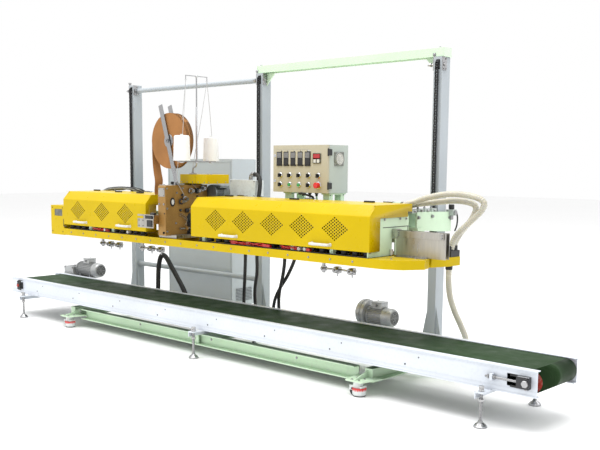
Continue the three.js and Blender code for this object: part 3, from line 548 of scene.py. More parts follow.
def chain_pins():
    """The (y, z) of each pin, up the rear run and onto the sprocket."""
    count = int((CHAIN_TOP - CHAIN_LOW) / PITCH)
    pins = [(CHAIN_Y, CHAIN_TOP - PITCH * (count - i)) for i in range(count + 1)]
    for i in range(1, 4):
        pins.append(polar((SPROCKET_Y, CHAIN_TOP), WRAP, pi - i * PITCH / WRAP))
    return pins


for side, x in POSTS.items():
    links = Build()
    pins = chain_pins()
    for i, (a, b) in enumerate(zip(pins, pins[1:])):
        run = Vector((b[0] - a[0], b[1] - a[1])).normalized()
        across = Vector((-run.y, run.x))
        outline = []
        for end, sign in ((a, -1), (b, 1)):
            for lean in ((-1, 0), (-0.7, 0.7), (0, 1), (0.7, 0.7), (1, 0)):
                spot = Vector(end) + LINK_HALF * sign * (across * lean[0] + run * lean[1])
                outline.append((spot.x, spot.y))
        for face in (-1, 1):
            near = 7.0 if i % 2 else 8.8
            links.prism("x", x + face * near, x + face * (near + 1.5), outline)
        links.rod("x", x - 7, x + 7, a, 4.8, 10)
        links.rod("x", x - 11.5, x + 11.5, a, 2.2, 8)
    chain = links.mesh(f"roller_chain_{side}", "dark_steel")
    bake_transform(chain)
    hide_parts(f"chain_{side}")

# ---- posts, tubes, beam
PIN, TUBE_Y = (475, 1934), 502
post_steel, post_paint, beam_paint = builds(3)
for x in POSTS.values():
    for face in (-1, 1):
        near, far = x + face * 30, x + face * 37
        post_steel.prism("x", near, far, [(459, 1898), (500, 1898), (500, 1966), (486, 1978), (459, 1978)])
        for y, z in ((470, 1906), (490, 1906), (490, 1966)):
            post_steel.bolt("x", face, far, (y, z), 5)
        post_steel.rod("x", far, far + face * 7, PIN, 14, 6)
        if face < 0:
            post_steel.rod("x", far - 46, far - 6, PIN, 7, 14, 1)
            post_steel.rod("x", far - 30, far - 20, PIN, 13, 6, 1)
            post_steel.rod("z", 1978, 2002, (far + 6, 468), 8, 16, 1)
            post_steel.rod("z", 1988, 2003, (far + 6, 468), 13, 18, 2)
        for y in (444, 560):
            post_steel.bolt("z", 1, BASE_TOP, (x + face * 78, y), 9)
        post_paint.tube([(x + face * 31, 458, 150), (x + face * 31, 546, 150)], 4, 8)
    for y in (457, 547):
        post_paint.tube([(x - 30, y, 150), (x + 30, y, 150)], 4, 8)
for z, radius in ((1934, 27), (458, 28)):
    for x, sign in ((POSTS["left"] + 30, 1), (POSTS["mid"] - 30, -1)):
        post_paint.rod("x", x, x + sign * 7, (TUBE_Y, z), radius, 24, 1)
        post_paint.tube([(x + sign * 9, *polar((TUBE_Y, z), 21, k * pi / 6)) for k in range(13)], 3, 6, 4)
        for k in range(4):
            at = polar((TUBE_Y, z), radius - 5, pi / 4 + k * pi / 2)
            post_steel.screw("x", sign, x + sign * 7, at, 3)
beam_paint.box(-119, -113, 462, 544, 1978, 2035)
beam_paint.box(1491, 1497, 462, 544, 1978, 2035)
for x in (POSTS["mid"], POSTS["right"]):
    for y in (478, 528):
        post_steel.bolt("z", 1, 2034, (x, y), 7, 5)
for x, sign in ((-59, 1), (1425, -1)):
    beam_paint.prism("y", 498, 506, [(x, 1980), (x + sign * 90, 1980), (x, 1890)])
post_steel.ride("post_hardware", "frame", "steel", 0.5)
post_paint.ride("post_collars", "frame", "grey", 0.6)
beam_paint.ride("beam_gussets", "frame", "mint", 1.0)

# ---- motors
def round_motor(shell, dark, axis, a0, a1, at, radius):
    """A finned motor body; the fan end is at a1."""
    toward = 1 if a1 > a0 else -1
    cowl = a1 - toward * 74
    fins = 30
    outline = []
    for k in range(fins):
        middle = 2 * pi * k / fins
        for shift, r in ((-0.62, radius - 8), (-0.3, radius - 8), (-0.22, radius), (0.22, radius),
                         (0.3, radius - 8)):
            outline.append(polar(at, r, middle + shift * pi / fins))
    shell.prism(axis, a0 + toward * 14, cowl, outline)
    flange = [(0, radius * 0.45), (2, radius * 0.96), (16, radius * 0.98), (20, radius * 0.9)]
    shell.lathe(axis, at, [(a0 + toward * d, r) for d, r in flange], 32)
    hood = [(-4, radius * 0.90), (0, radius * 0.97), (52, radius * 0.97), (62, radius * 0.93),
            (70, radius * 0.84), (72, radius * 0.80)]
    shell.lathe(axis, at, [(cowl + toward * d, r) for d, r in hood], 36)
    face = cowl + toward * 72
    dark.rod(axis, face - toward * 2, face + toward * 0.8, at, radius * 0.72, 30)
    for r in (0.20, 0.36, 0.52, 0.68):
        shell.ring(axis, face, face + toward * 2, at, radius * r, radius * r - 2.6, 30)
    for k in range(6):
        tip = polar(at, radius * 0.7, k * pi / 3)
        shell.tube([lay(axis, face + toward * 1.2, *end) for end in (at, tip)], 1.3, 6, 30)
    for k in range(4):
        spot = polar(at, radius * 0.99, pi / 4 + k * pi / 2)
        for place, sign in ((a0 + toward * 20, -toward), (cowl + toward * 30, toward)):
            shell.rod(axis, place, place + sign * 8, spot, 3.4, 6)


def terminal_box(shell, trim, x0, x1, y0, y1, z0, z1):
    shell.box(x0, x1, y0, y1, z0, z1 - 8)
    shell.box(x0 - 2, x1 + 2, y0 - 2, y1 + 2, z1 - 7, z1)
    for x in (x0 + 5, x1 - 5):
        for y in (y0 + 5, y1 - 5):
            trim.screw("z", 1, z1, (x, y), 3.4)
    trim.rod("y", y0 - 16, y0, ((x0 + x1) / 2, (z0 + z1) / 2), 8, 12, 1.5)


DRIVE_X, AXIS_Z = -2368, 258
shell, dark, trim = builds(3)
shell.box(DRIVE_X - 60, DRIVE_X + 60, 220.4, 266, 300, 322)
shell.box(DRIVE_X - 66, DRIVE_X + 66, 266, 396, AXIS_Z - 16, AXIS_Z + 124)
for y0, y1 in ((262, 272), (388, 400)):
    shell.box(DRIVE_X - 72, DRIVE_X + 72, y0, y1, AXIS_Z - 20, AXIS_Z + 130)
shell.lathe("y", (DRIVE_X, AXIS_Z + 30), [(404, 20), (404, 46), (398, 52), (258, 52), (256, 30)], 28)
for k in range(7):
    shell.box(DRIVE_X - 70, DRIVE_X + 70, 282 + 16 * k, 286 + 16 * k, AXIS_Z - 18, AXIS_Z + 128)
for dx in (-60, 60):
    for dz in (-8, 118):
        trim.bolt("y", 1, 400, (DRIVE_X + dx, AXIS_Z + dz), 6)
        trim.bolt("y", -1, 262, (DRIVE_X + dx, AXIS_Z + dz), 6)
trim.rod("z", 388, 396, (DRIVE_X, 330), 8, 6)
round_motor(shell, dark, "x", DRIVE_X + 72, -1985, (350, 370), 66)
terminal_box(shell, trim, -2202, -2117, 312, 388, 424, 470)
shell.box(-2270, -2070, 292, 408, 296, 306)
for x in (-2255, -2105):
    shell.box(x, x + 20, 300, 400, 304, 330)
shell.ride("conveyor_gearmotor", "frame", "motor", 1.2, replaces=("conveyor_motor",))
dark.ride("conveyor_motor_grille", "frame", "black")
trim.ride("conveyor_motor_bolts", "frame", "steel")

shell, dark, trim = builds(3)
FAN_Y, FAN_Z = FAN = 340, 368
shell.lathe("x", FAN, [(1000, 58), (1002, 80), (1008, 84), (1056, 84), (1062, 80), (1065, 40)], 36)
shell.ring("x", 1028, 1037, FAN, 88, 82, 36)
shell.lathe("x", FAN, [(956, 20), (956, 24), (996, 24), (1002, 30)], 20)
for k in range(10):
    trim.bolt("x", -1, 1028, polar(FAN, 85, k * pi / 5), 3.4, 4)
shell.tube([(1034, y, FAN_Z) for y in (FAN_Y, 400, 446)], 26, 20)
round_motor(shell, dark, "x", 1062, 1262, (FAN_Y, 354), 62)
terminal_box(shell, trim, 1100, 1180, 304, 376, 406, 450)
for x in (1090, 1180):
    shell.box(x - 20, x + 20, 316, 364, BASE_TOP, 304)
    shell.box(x - 28, x + 28, 302, 378, 292, 304)
    for y in (326, 354):
        trim.bolt("z", 1, 304, (x + 22, y), 4)
shell.box(1062, 1210, 318, 362, 280, 298)
shell.ride("suction_fan", "frame", "motor", 1.2, replaces=("suction_blower",))
dark.ride("suction_fan_grille", "frame", "black")
trim.ride("suction_fan_bolts", "frame", "steel")

shell, dark = builds(2)
round_motor(shell, dark, "y", 122, 276, (-250, 1116), 58)
shell.box(-300, -200, 180, 260, 1051, 1066)
shell.box(-226, -176, 150, 236, 1150, 1166)
shell.ride("sewing_drive_motor", "head", "motor_dark", 1.0, replaces=("sewing_motor",))
dark.ride("sewing_motor_grille", "head", "black")

# ---- conveyor
FEET_X, FOOT_Y = (-2212, 32, 2276), 289
PAD = ((0, 33), (2, 35), (8, 35), (12, 30), (17, 27), (26, 15), (34, 11.5), (34, 8.5))
lips, fixings, feet, bearing = builds(4)
for side in (-1, 1):
    face = side * 220
    for z0, z1, proud in ((316, 324.5, 3.0), (303, 306, 1.6), (214, 217, 1.6), (186.5, 195, 3.0)):
        lips.box(-2520, 2545, face, face + side * proud, z0, z1)
    for x in range(-2100, 2300, 550):
        fixings.screw("y", side, face, (x, 232), 5)
        fixings.screw("y", side, face, (x + 90, 282), 4)
    for z in (283, 226):
        fixings.box(2396, 2440, face, face + side * 0.8, z - 5, z + 5)
    bearing.prism("y", face, face + side * 15, [
        (DRIVE_X + dx, AXIS_Z + dz) for dx, dz in (
            (-38, -26), (-26, -42), (26, -42), (38, -26), (38, 26), (26, 42), (-26, 42), (-38, 26))])
    bearing.lathe("y", (DRIVE_X, AXIS_Z), [
        (face + side * d, r) for d, r in ((13, 30), (22, 30), (25.5, 27), (25.5, 12.8))], 28)
    for dx in (-26, 26):
        for dz in (-28, 28):
            fixings.bolt("y", side, face + side * 15, (DRIVE_X + dx, AXIS_Z + dz), 6)
for x in FEET_X:
    for y in (-FOOT_Y, FOOT_Y):
        feet.lathe("z", (x, y), screw_thread(30, 46, 9.2, 8.2), 12)
        feet.lathe("z", (x, y), PAD, 28)
        for z in (187.4, 203, 134):
            feet.rod("z", z, z + 14, (x, y), 15.5, 6, 1)
        feet.rod("z", 185, 187.2, (x, y), 19, 20)
lips.ride("panel_ribs", "frame", "white", 0.5)
fixings.ride("panel_fixings", "frame", "black")
bearing.ride("drive_bearings", "frame", "black", 1.5)
feet.ride("levelling_feet", "frame", "steel")

block, screw = builds(2)
for side in (-1, 1):
    block.box(2443, 2512.5, side * 226, side * 247.5, 228, 288)
    block.lathe("y", (2497, AXIS_Z), [(side * a, r) for a, r in ((246, 26), (256, 26), (258, 22), (258, 13))])
    screw.rod("y", side * 250, side * 264, (2497, AXIS_Z), 19.5, 6, 1.5)
    screw.lathe("x", (side * 234, AXIS_Z), screw_thread(2264, 44, 6.9, 6.0), 12)
    for x in (2276, 2312):
        screw.rod("x", x, x + 10, (side * 234, AXIS_Z), 12, 6, 1)
    screw.bolt("z", -1, 226, (2490, side * 236), 5)
block.ride("take_up_blocks", "take_up", "dark_steel", 1.2)
screw.ride("take_up_screws", "take_up", "steel")

# ---- base frame and casters
frame_bolts = Build()
CASTERS = {"front_left": (-1558, -252), "front_right": (1448, -252), "rear_left": (-1558, 886),
           "rear_right": (1448, 886)}
for name, (x, y) in CASTERS.items():
    for dx in (-26, 26):
        for dy in (-26, 26):
            frame_bolts.bolt("z", 1, 96, (x + dx, y + dy), 6)
    tyre, wheel, pad = builds(3)
    tyre.lathe("y", (x - 26, 27), [(y + d, r) for d, r in (
        (-16, 20), (-15, 25), (-9, 26.5), (9, 26.5), (15, 25), (16, 20))], 30)
    wheel.prism("z", 33, 50, knurl((x + 8, y), 38.5, 41.5, 48))
    pad.rod("z", 0, 7, (x + 8, y), 37, 30, 2)
    for side in (-1, 1):
        pad.bolt("y", side, y + side * 24.4, (x - 26, 44), 5)
    tyre.ride(f"caster_tyre_{name}", f"caster_{name}", "rubber")
    wheel.ride(f"caster_thumbwheel_{name}", f"caster_{name}", "red", 0.5)
    pad.ride(f"caster_pad_{name}", f"caster_{name}", "rubber", 0.5)
for x in (-1500, -700, 100, 900):
    frame_bolts.bolt("y", -1, -185, (x, 125), 7)
frame_bolts.ride("frame_bolts", "frame", "steel")

# ---- perforated hoods
FRONT, TOP_Z, LOW_Z, REAR_Y = -247, 1096, 834, 155
HALF_W, HALF_H, MID_Z, CELLS, HOLE = 106, 74, 953, 8, 5.7


def fillet(points, radius, segments=4):
    """Rounds the inner corners of an open (y, z) outline."""
    rounded = [points[0]]
    for before, corner, after in zip(points, points[1:], points[2:]):
        middle = Vector(corner)
        start, end = (middle + (Vector(p) - middle).normalized() * radius for p in (before, after))
        for i in range(segments + 1):
            t = i / segments
            spot = (1 - t) ** 2 * start + 2 * t * (1 - t) * middle + t * t * end
            rounded.append((spot.x, spot.y))
    return [*rounded, points[-1]]


def stadium(at, half, radius):
    """An outline with two round ends, their centres half away from the middle."""
    outline = []
    for sign, start in ((1, -pi / 2), (-1, pi / 2)):
        for k in range(9):
            outline.append(polar((at[0] + sign * half, at[1]), radius, start + pi * k / 8))
    return outline


def perforated(shell, c, top):
    """A diamond of round holes, with the plain sheet around it."""
    def spot(i, j):
        return c - HALF_W + (i + j) * HALF_W / CELLS, MID_Z + (i - j) * HALF_H / CELLS

    for i in range(CELLS):
        for j in range(CELLS):
            middle = Vector(spot(i + 0.5, j + 0.5))
            rim = [Vector(spot(i + a, j + b)) for a, b in (
                (0, 0), (0.5, 0), (1, 0), (1, 0.5), (1, 1), (0.5, 1), (0, 1), (0, 0.5))]
            hole = [middle + (v - middle).normalized() * HOLE for v in rim]
            shell.loft([[(v.x, FRONT, v.y) for v in ring] for ring in (rim, hole)])
    half_steps = [k / 2 for k in range(2 * CELLS + 1)]
    edges = ([(k, 0) for k in half_steps], [(CELLS, k) for k in half_steps],
             [(0, k) for k in half_steps], [(k, CELLS) for k in half_steps])
    for cells, side, z in zip(edges, (-1, 1, -1, 1), (top, top, LOW_Z, LOW_Z)):
        points = [spot(i, j) for i, j in cells]
        corner = [(c + side * HALF_W, z), (c, z)]
        outline = [*points, *(corner if side > 0 else corner[::-1])]
        shell.add([(x, FRONT, h) for x, h in outline], [tuple(range(len(outline)))])


def hood(side, start, end, diamonds, grips, grip_z, recesses):
    body = f"{side}_cover"
    outline = fillet([(FRONT, LOW_Z), (FRONT, 1034), (-191, TOP_Z), (REAR_Y, TOP_Z), (REAR_Y, 1052)], 5)
    bend = outline[1][1]
    shell, dark, grip, rib = builds(4)
    stations = sorted({start, end, *(c + d for c in diamonds for d in (-HALF_W, 0, HALF_W))})
    for x0, x1 in zip(stations, stations[1:]):
        for (y0, z0), (y1, z1) in zip([(FRONT + 12, LOW_Z), *outline[1:]], [outline[0], *outline[2:]]):
            shell.add([(x0, y0, z0), (x1, y0, z0), (x1, y1, z1), (x0, y1, z1)], [(0, 1, 2, 3)])
    edges = [start, *(c + d for c in diamonds for d in (-HALF_W, HALF_W)), end]
    for x0, x1 in zip(edges[::2], edges[1::2]):
        outer = [(x0, LOW_Z), (x1, LOW_Z), *([(x1, MID_Z)] if x1 < end else []), (x1, bend), (x0, bend),
                 *([(x0, MID_Z)] if x0 > start else [])]
        shell.add([(x, FRONT, z) for x, z in outer], [tuple(range(len(outer)))])
    for c in diamonds:
        perforated(shell, c, bend)
    for x in (start, end):
        wall = [*outline, (115, 1052), (115, 1022), (-151, 1022), (-151, LOW_Z)]
        shell.add([(x, y, z) for y, z in wall], [tuple(range(len(wall)))])
    for x, y in recesses:
        dark.prism("z", TOP_Z, TOP_Z + 12, stadium((x, y), 26, 13))
        rib.loft([[(*spot, z) for spot in stadium((x, y), 24, r)] for z, r in (
            (TOP_Z, 19), (TOP_Z + 2.4, 19), (TOP_Z + 2.4, 15), (TOP_Z, 15))], loop=True)
    # A black sheet behind the perforations: painted shade, so the holes read dark.
    dark.box(start + 30, end - 30, FRONT + 24, FRONT + 26, LOW_Z + 30, 1030)
    for x in (start + 6, end - 6):
        rib.box(x - 3, x + 3, FRONT + 20, REAR_Y - 30, TOP_Z, TOP_Z + 1.2)
    for x in grips:
        grip.tube([(x + dx, FRONT - out, grip_z) for dx, out in (
            (-70, 0), (-70, 20), (-62, 28), (0, 28), (62, 28), (70, 20), (70, 0))], 8.5, 14, 7)
        for dx in (-70, 70):
            grip.rod("y", FRONT - 4, FRONT, (x + dx, grip_z), 11, 18, 1)
    shell.ride(f"{side}_hood_shell", body, "yellow", solid=2.5, replaces=(body,))
    # The black recess blocks, and the painted-shade sheet behind the holes.
    dark.ride(f"{side}_hood_recesses_and_hole_shade", body, "black")
    rib.ride(f"{side}_hood_trim", body, "yellow", 0.4)
    grip.ride(f"{side}_hood_grips", body, "pale_plastic")


hood("left", -1610, -537, (-1406, -1085, -786), (-1360, -793), 862, ((-1527, 16), (-1139, -49), (-833, -71)))
hood("right", -33, 1505, (215, 477, 734, 987, 1249), (349, 1147), 858, ((43, 34), (696, 0), (1255, 66)))

# ---- beam behind the hoods
beam, leaves, dark, bundle = builds(4)
for x0, x1, stands in ((-1600, -540, (-1560, -1075, -580)), (-30, 1340, (10, 660, 1310))):
    beam.box(x0, x1, 200, 220, 1066, 1092)
    for x in stands:
        beam.box(x - 14, x + 14, 206, 221, 950, 1068)
        leaves.rod("x", x - 34, x + 34, (178, 1101), 5, 12)
        leaves.box(x - 30, x + 30, 178, 216, 1098, 1101)
        leaves.box(x - 12, x + 12, 196, 216, 1090, 1100)
        for dx in (-22, 22):
            leaves.screw("z", 1, 1101, (x + dx, 206), 4)
dark.rod("z", 1092, 1112, (674, 205), 7, 16, 1)
dark.tube([(674, 205, 1110), (650, 196, 1118), (610, 180, 1130), (592, 172, 1134)], 7, 12)
for k in range(6):
    (dark if k % 2 else bundle).tube([
        (-1190 + 14 * k, 226, 1050), (-1215 + 12 * k, 205, 1098 + 3 * (k % 3)),
        (-1330, 168 + 9 * k, 1117 + 7 * (k % 2)),
        (-1450, 150 + 12 * k, 1108 + 8 * ((k + 1) % 3)), (-1560, 140 + 10 * k, 1104 + 6 * (k % 3)),
        (-1650, 90 + 12 * k, 1070), (-1700 + 8 * k, 10, 1010), (-1716 + 9 * k, -60, 978)], 7.5, 10)
beam.box(1340, 1396, 178, 264, 950, 1100)
for y, z in ((196, 1078), (246, 1078)):
    leaves.rod("x", 1394, 1408, (y, z), 22, 24, 2)
    leaves.box(1402, 1410, y - 10, y + 10, z + 18, z + 26)
beam.ride("hood_hinge_beam", "head", "mint", 1.5)
leaves.ride("hood_hinges", "head", "steel", 0.4)
dark.ride("outfeed_cables", "head", "rubber")
bundle.ride("outfeed_conduits", "head", "mesh_grey")

# ---- belts and wiring in the gap below the hoods
mounts, wheels, wires, pale, heaters = builds(5)
for x in (67, 495, 892, 1206, -1276, -977):
    mounts.box(x - 13, x + 13, -224, -196, TRAY_TOP, 833)
    mounts.bolt("y", -1, -224, (x, 815), 4)
for x in (*range(20, 1470, 84), *range(-1560, -560, 84)):
    wheels.lathe("z", (x, -190), [(803, 8), (803, 24), (806, 25), (809, 22), (824, 22), (827, 25), (829, 24),
                                  (829, 6)])
    mounts.rod("z", 828, 832, (x, -190), 7, 6)
for x0, x1, y in ((340, 712, -226), (800, 960, -224), (-1230, -1020, -225)):
    for k in range(4):
        wires.tube([(x0 + (x1 - x0) * t / 8, y + 6 * sin(t * 1.7 + k) - 3 * k,
                     808 + 5 * k + 4 * sin(t * 2.3 + 2 * k)) for t in range(9)], 2.6, 8)
for x0, x1 in ((352, 392), (640, 704), (1010, 1040)):
    wires.box(x0, x1, -232, -214, 802, 822)
for x in (953, 1000, -1071, -778):
    pale.rod("y", -236, -206, (x, 816), 12, 20, 2)
for x in range(180, 1240, 12):
    heaters.box(x, x + 5, -150, -92, 802, 832)
heaters.box(176, 1245, -142, -100, 802, 826)
heaters.box(30, 1480, -240, -236, 801, 806)
heaters.box(-1560, -560, -240, -236, 801, 806)
mounts.ride("belt_mounts", "head", "mint", 0.8)
wheels.ride("belt_pulleys", "head", "black")
wires.ride("heater_wiring", "head", "red")
pale.ride("heater_terminals", "head", "pale_plastic")
heaters.ride("heater_blocks", "head", "dark_steel", 0.4)

# ---- outfeed drive box
louvre, slot_edge = builds(2)
louvre.box(-1748, -1634, -244, -242, 897, 951)
for k in range(9):
    louvre.prism("x", -1747, -1635, [(y, z + 6 * k) for y, z in (
        (-246.5, 899), (-243, 903), (-242.5, 902), (-246, 898))])
slot_edge.box(-1620, -1614, -248.2, -246.5, 816, 874)
slot_edge.box(-1620, -1577, -248.2, -246.5, 814, 820)
for x, z in ((-1780, 962), (-1630, 962), (-1780, 770), (-1630, 770)):
    slot_edge.screw("y", -1, -247, (x, z), 5)
louvre.ride("drive_box_louvre", "head", "mesh_grey")
slot_edge.ride("drive_box_fixings", "head", "black")

# ---- sewing head
FACE = -277
bright, black, glass, gasket, throat_shade, plates = builds(6)
for build, near, far, wide, high in ((black, 0, 5, 20, 31), (glass, 4, 6.5, 11, 19)):
    oval = [(-211 + wide * u, 1055 + high * v) for u, v in circle((0, 0), 1, 24)]
    build.prism("x", FACE + near, FACE + far, oval)


def tension(at, dark_rings):
    """A thread tension: post, two sprung discs and a knurled nut."""
    (black if dark_rings else bright).lathe("x", at, [
        (FACE + d, r) for d, r in (
            (0, 9), (5, 9), (6, 19), (9, 21), (10.5, 13), (12, 21), (15, 19), (16, 9))], 28)
    bright.tube([(FACE + 16 + k * 0.9, *polar(at, 9, k * 1.05)) for k in range(13)], 1.2, 6, 3)
    bright.rod("x", FACE + 10, FACE + 42, at, 3.2, 12)
    bright.prism("x", FACE + 27, FACE + 37, knurl(at, 10.8, 12, 36))


for at, dark_rings in (((-138, 1057), True), ((11, 1130), True), ((-100, 1074), False), ((-48, 1131), False),
                       ((62, 1147), False)):
    tension(at, dark_rings)
for at in ((-123, 1103), (18, 1089), (-141, 996)):
    black.lathe("x", at, [(FACE, 9), (FACE + 8, 9), (FACE + 11, 6)], 18)
    bright.rod("x", FACE + 8, FACE + 14, at, 2.5, 10)
black.lathe("x", (-87, 992), [(FACE, 12), (FACE + 4, 15), (FACE + 20, 15), (FACE + 24, 11)], 22)
for y in (-171, -41):
    black.rod("z", 1150, 1194, (-284, y), 4, 12, 1)
    bright.ring("z", 1192, 1195, (-284, y), 7, 3.4, 16)
# Thin dark plate and disc on the head face: painted shadow in the throat and in a hole.
throat_shade.prism("x", FACE, FACE + 1.2, [(-79, 822), (-20, 822), (-20, 918), (-19, 971), (-62, 971), (-79, 950)])
throat_shade.rod("x", FACE, FACE + 1, (-291, 842), 9, 18)
plates.box(-352, -284, -275, -271.5, 1093, 1153)
for z in (1100, 1146):
    for x in (-345, -291):
        black.screw("y", -1, -275, (x, z), 3.5)
for z in (840, 975):
    black.screw("y", -1, -272, (-290, z), 5)
plates.box(-411, -216, -227, -19, 801, 825.5)
for y, z in ((-258, 1150), (-258, 1010), (-258, 850), (90, 1150), (90, 960), (-180, 905), (-118, 1150),
             (-170, 1118)):
    bright.bolt("x", 1, FACE, (y, z), 6, 5)
bright.prism("x", FACE, FACE + 8, [(-30, 985), (60, 1000), (76, 1050), (40, 1062), (-22, 1040)])
bright.tube([(FACE + 12, 20, 1022), (FACE + 16, -40, 1010), (FACE + 16, -84, 1000)], 4, 10)
bright.tube([(FACE + 10, -152, 974), (FACE + 12, -120, 958), (FACE + 12, -88, 936), (FACE + 14, -96, 910),
             (FACE + 13, -107, 886)], 2.2, 8, 8)
bright.tube([(FACE + 10, -153, 960), (FACE + 12, -118, 944), (FACE + 12, -92, 918)], 2.0, 8, 8)
bright.box(FACE + 2, FACE + 52, -82, -20, 823, 827)
for k in range(9):
    black.box(FACE + 8 + 4.6 * k, FACE + 10.6 + 4.6 * k, -70, -28, 827, 829.5)
bright.box(FACE + 16, FACE + 30, -58, -22, 829, 833)
bright.rod("z", 829, 906, (FACE + 22, -50), 4, 12)
bright.box(FACE, FACE + 26, -58, -42, 902, 914)
gasket.box(-358, FACE - 1, -262, -180, 1172, 1174)
for y in (-245, -200, 40, 95):
    bright.bolt("z", 1, 1172, (-325, y), 7, 6)
for x in (-345, -295):
    bright.bolt("y", -1, -272, (x, 1040), 6, 5)
black.lathe("z", (-345, -150), [(1172, 10), (1178, 10), (1180, 16), (1194, 16), (1196, 12)], 20)

# The tape folder stands out to the left of the head.
plates.box(-533, -352, -322, -320.5, 871, 936)
plates.box(-533, -530, -322, -300, 871, 936)
plates.box(-471, -352, -318, -225, 899, 963)
plates.rod("x", -536, -352, (-312, 958), 6.5, 14)
plates.box(-536, -450, -320, -304, 953, 963)
plates.ride("tape_folder_plates", "head", "sheet", 0.8)
black.box(-440, -366, -326, -300, 936, 958)
black.box(-420, -366, -328, -318, 880, 926)
for x in (-516, -470, -420, -380):
    for z in (884, 922):
        black.screw("y", -1, -322, (x, z), 4.5)
black.rod("x", -400, -362, (-300, 966), 14, 18, 2)
bright.ride("sewing_head_bright_parts", "head", "steel", 0.4)
black.ride("sewing_head_black_parts", "head", "black")
glass.ride("oil_sight_glass", "head", "pale_plastic", 0.5)
throat_shade.ride("throat_shadow", "head", "dark_steel")
gasket.ride("sewing_head_gasket", "head", "pale_plastic")

seam, bolts = builds(2)
seam.box(-201, -200, -64.5, 152.4, 1184, 1248.5)
for x in (-350, -290, -230, -170, -105):
    bolts.screw("y", -1, -64, (x, 1194), 4.5)
for y in (-40, 40, 120):
    bolts.screw("x", 1, -86, (y, 1194), 4.5)
for x in (-150, -116):
    bolts.bolt("z", 1, 1248, (x, 10), 5)
seam.ride("belt_guard_seams", "head", "rubber")
bolts.ride("belt_guard_screws", "head", "steel")

# ---- tape reel and ribbon
REEL = (-385, 1482)
ribbon, hub, nuts = builds(3)
strip = []
for x, z, turned in ((-580, 1482, 0.0), (-578, 1400, 0.1), (-570, 1320, 0.25), (-556, 1250, 0.5),
                     (-545, 1208, 0.6), (-546, 1172, 0.4), (-554, 1140, 0.2), (-556, 1110, 0.1),
                     (-550, 1092, 0.0)):
    wide = Vector((sin(turned), cos(turned), 0)) * 29
    strip.append((Vector((x, -118, z)), wide))
path = smooth_path([tuple(c) for c, _ in strip], 14)
rings = []
for i, point in enumerate(path):
    low = max((k for k in range(len(strip) - 1) if strip[k][0].z >= point.z), default=0)
    (a, wide_a), (b, wide_b) = strip[low:low + 2]
    wide = wide_a.lerp(wide_b, max(0.0, min(1.0, (a.z - point.z) / (a.z - b.z))))
    thin = Vector((-wide.y, wide.x, 0)).normalized() * 0.4
    rings.append([point + wide + thin, point - wide + thin, point - wide - thin, point + wide - thin])
ribbon.loft(rings, closed=True)
for side in (-1, 1):
    face = -118 + side * 31
    hub.rod("y", face, face + side * 5, REEL, 48, 36, 1)
    nuts.rod("y", face + side * 14, face + side * 24, REEL, 15, 6, 1)
    for k in range(3):
        nuts.bolt("y", side, face + side * 5, polar(REEL, 34, k * 2 * pi / 3 + 0.4), 4.5)
ribbon.ride("tape_ribbon", "head", "kraft")
hub.ride("tape_hub_plates", "tape_roll", "steel", 0.5)
nuts.ride("tape_hub_bolts", "tape_roll", "steel")

# ---- thread stand
STAND, YARN = (-234, -20), 1.7
fittings, yarn, tips = builds(3)
for x, y, hook, pins in ((-164, -215, -117, ((-277, -171, 1193), (-262, -118, 1106))),
                         (-304, 175, 77, ((-280, -41, 1193), (-262, 9, 1135)))):
    tips.lathe("z", (x, y), [(1511, 30), (1515.5, 30), (1515.5, 12), (1524, 9)], 24)
    tips.rod("z", 1342, 1345, (x, y), 58.4, 30, 1)
    fittings.ring("z", 1898, 1902, (-234, hook), 9, 6.6, 20)
    fittings.rod("z", 1328, 1336, (x, y), 16, 20, 1)
    eye, slack = (-234, hook, 1900), (Vector(pins[0]) + Vector(pins[1])) / 2 + Vector((4, 0, 0))
    yarn.tube([(x, y + 8, 1522), ((x - 234) / 2, (y + hook) / 2 + 6, 1716), eye], YARN, 6, 40)
    pin_y = pins[0][1]
    yarn.tube([eye, (-250, (2 * hook + pin_y) / 3, 1650), (-268, (hook + 3 * pin_y) / 4, 1380), pins[0]],
              YARN, 6, 40)
    yarn.tube([pins[0], slack, pins[1]], YARN, 6, 20)
fittings.ring("z", 1326, 1348, STAND, 11, 5.4, 24)
fittings.rod("z", 1348, 1716, STAND, 7.5, 16, 1)
fittings.rod("z", 1920, 1936, STAND, 9, 12, 1)
for x in (-292, -268):
    fittings.bolt("z", 1, 1256, (x, -20), 5)
fittings.ride("thread_stand_fittings", "head", "chrome", 0.4)
yarn.ride("threads", "head", "yarn")
tips.ride("cone_tips", "head", "pale_plastic")

# ---- control box
DOOR_Y, CONTROL_X = 180, [398 + 85.5 * i for i in range(5)]
UPPER_ROW, LOWER_ROW = 1250, 1188
frames, screens, labels, chrome, red_view, side_trim, keys = builds(7)
for i in range(5):
    x = 389 + 64.5 * i
    frames.box(x - 24, x + 24, DOOR_Y - 6, DOOR_Y, 1312, 1408)
    frames.box(x - 21, x + 21, DOOR_Y - 8, DOOR_Y - 5, 1315, 1362)
    screens.box(x - 19, x + 19, DOOR_Y - 7.2, DOOR_Y - 5, 1366, 1402)
    for k in range(4):
        frames.box(x - 18 + 9.5 * k, x - 11 + 9.5 * k, DOOR_Y - 9.5, DOOR_Y - 7.8, 1320, 1328)
    labels.box(x - 23, x + 23, DOOR_Y - 1, DOOR_Y, 1411, 1417)
frames.box(694, 762, DOOR_Y - 6, DOOR_Y, 1330, 1396)
red_view.box(700, 756, DOOR_Y - 7.4, DOOR_Y - 5, 1364, 1391)
for x in (702, 732):
    keys.box(x, x + 22, DOOR_Y - 8.6, DOOR_Y - 5, 1335, 1357)
for i, x in enumerate(CONTROL_X):
    for z in (UPPER_ROW, LOWER_ROW):
        base, rim = (25, 20) if z == LOWER_ROW and i == 4 else (19, 15)
        chrome.lathe("y", (x, z), [(DOOR_Y, base), (DOOR_Y - 2.5, base), (DOOR_Y - 6, rim)], 28)
